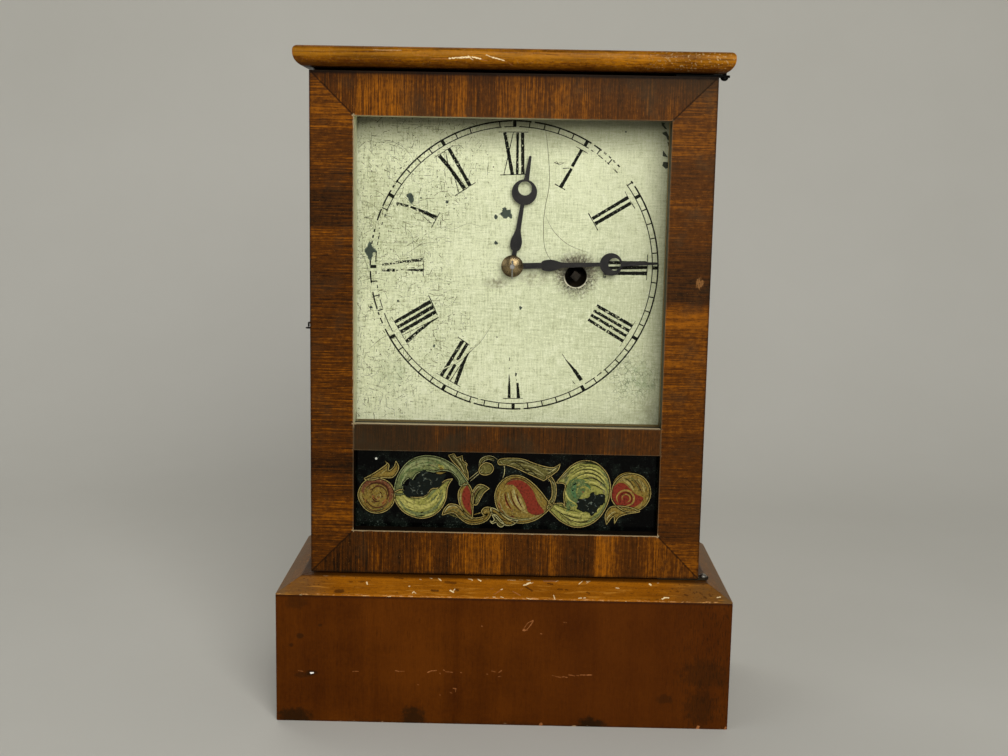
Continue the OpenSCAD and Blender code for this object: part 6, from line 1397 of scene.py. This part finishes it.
def paintTablet():
    chance = random.Random(tablet["seed"])
    pot = PaintPot(tablet["face"], tablet["lift"], tablet["layer"])
    outlines = {}
    edges = []
    for name, fill, edge, flat in scrollShapes:
        pot.depth += 1
        outlines[name] = softLine(pairs(flat), True)
        if fill not in ("red", "worn"):  # these go on later
            pot.patch(outlines[name], paintOf(fill))
        if edge:
            edges.append((outlines[name] + outlines[name][:1], edge))
    brushOver(pot, chance, outlines)
    pot.depth = coats["red"]
    for name, fill, edge, flat in scrollShapes:
        if fill == "red":
            pot.patch(outlines[name], paintOf(fill))
    for width, paint, flat in scrollLines:
        pot.depth += 0.4
        pot.stroke(softLine(pairs(flat), False), width, paintOf(paint))
    pot.depth = coats["rimShade"]
    for line, edge in edges:
        pot.stroke(line, tablet["outline"] * 2.2, paintOf("ground"), blunt=True)
    pot.depth = coats["rim"]
    for line, edge in edges:
        pot.stroke(line, tablet["outline"] * 0.8, paintOf(edge), blunt=True)
    pot.depth = coats["worn"]
    for line in (outlines["blackHeart"], softLine(pairs(rightChip), True)):
        wearThrough(pot, chance, line)
    return pot.finished("tablet_scrolls", paintFinish("tablet_paint", 0.14), "door", tablet["thick"])


paintTablet()
print("tablet painted")

stage = {"floor": (shade(200, 198, 189), shade(209, 207, 199)), "far": 0.9, "near": -2.2, "side": 2.2, "high": 2.2, "round": 0.5,
         "air": 0.15, "lit": (0, 0, 0.17)}  # air is the light from all round, lit the place the lamps point at


def makeStage():
    f = Finish("studio_floor")
    cloth = f.noise((0.004, 0.004, 0.004), 4, 0.6)
    material = f.done(f.surface(f.tint(cloth, *stage["floor"]), 0.9))
    bm = bmesh.new()
    line = [(stage["near"], 0.0), (stage["far"] - stage["round"], 0.0)]
    for i in range(1, 13):
        a = i / 12 * math.pi / 2
        line.append((stage["far"] - stage["round"] + stage["round"] * math.sin(a), stage["round"] * (1 - math.cos(a))))
    line.append((stage["far"], stage["high"]))
    rows = [[bm.verts.new((side, y, z)) for y, z in line] for side in (-stage["side"], stage["side"])]
    for i in range(len(line) - 1):
        bm.faces.new((rows[0][i], rows[1][i], rows[1][i + 1], rows[0][i + 1])).smooth = True
    mesh = bpy.data.meshes.new("studio_floor")
    bm.to_mesh(mesh)
    floor = bpy.data.objects.new("studio_floor", mesh)
    mesh.materials.append(material)
    bpy.context.scene.collection.objects.link(floor)


makeStage()

lamps = {
    "window": {"place": (0.35, -1.6, 0.95), "size": 1.1, "power": 26.2, "tint": (1.0, 0.99, 0.96)},
    "bounce": {"place": (-1.3, -0.9, 0.7), "size": 1.2, "power": 3.0, "tint": (0.97, 0.98, 1.0)},
    "behind": {"place": (-0.5, 0.8, 1.3), "size": 0.9, "power": 4.0, "tint": (1.0, 1.0, 1.0)},
}
for name, lamp in lamps.items():
    light = bpy.data.lights.new(name, "AREA")
    light.size = lamp["size"]
    light.energy = lamp["power"]
    light.color = lamp["tint"]
    holder = bpy.data.objects.new(name, light)
    holder.location = lamp["place"]
    holder.rotation_euler = (Vector(stage["lit"]) - Vector(lamp["place"])).to_track_quat("-Z", "Y").to_euler()
    bpy.context.scene.collection.objects.link(holder)

world = bpy.data.worlds.new("studio_air")
world.use_nodes = True
world.node_tree.nodes["Background"].inputs["Color"].default_value = (1, 1, 1, 1)
world.node_tree.nodes["Background"].inputs["Strength"].default_value = stage["air"]
bpy.context.scene.world = world

viewpoint = {
    "place": (0.00267, -0.69307, 0.2804), "yaw": 0.0073, "pitch": -0.1524, "roll": -0.0182,
    "lens": 46.39, "sensor": 36, "nearest": 0.01,
}


def makeCamera():
    data = bpy.data.cameras.new("camera")
    data.lens = viewpoint["lens"]
    data.sensor_width = viewpoint["sensor"]
    data.clip_start = viewpoint["nearest"]
    camera = bpy.data.objects.new("camera", data)
    turn = (Matrix.Rotation(viewpoint["yaw"], 4, "Z") @ Matrix.Rotation(viewpoint["pitch"], 4, "X")
            @ Matrix.Rotation(viewpoint["roll"], 4, "Y") @ Matrix.Rotation(math.pi / 2, 4, "X"))
    camera.matrix_world = Matrix.Translation(viewpoint["place"]) @ turn
    bpy.context.scene.collection.objects.link(camera)
    bpy.context.scene.camera = camera


makeCamera()
bpy.context.scene.view_settings.view_transform = "Standard"
print("stage done")
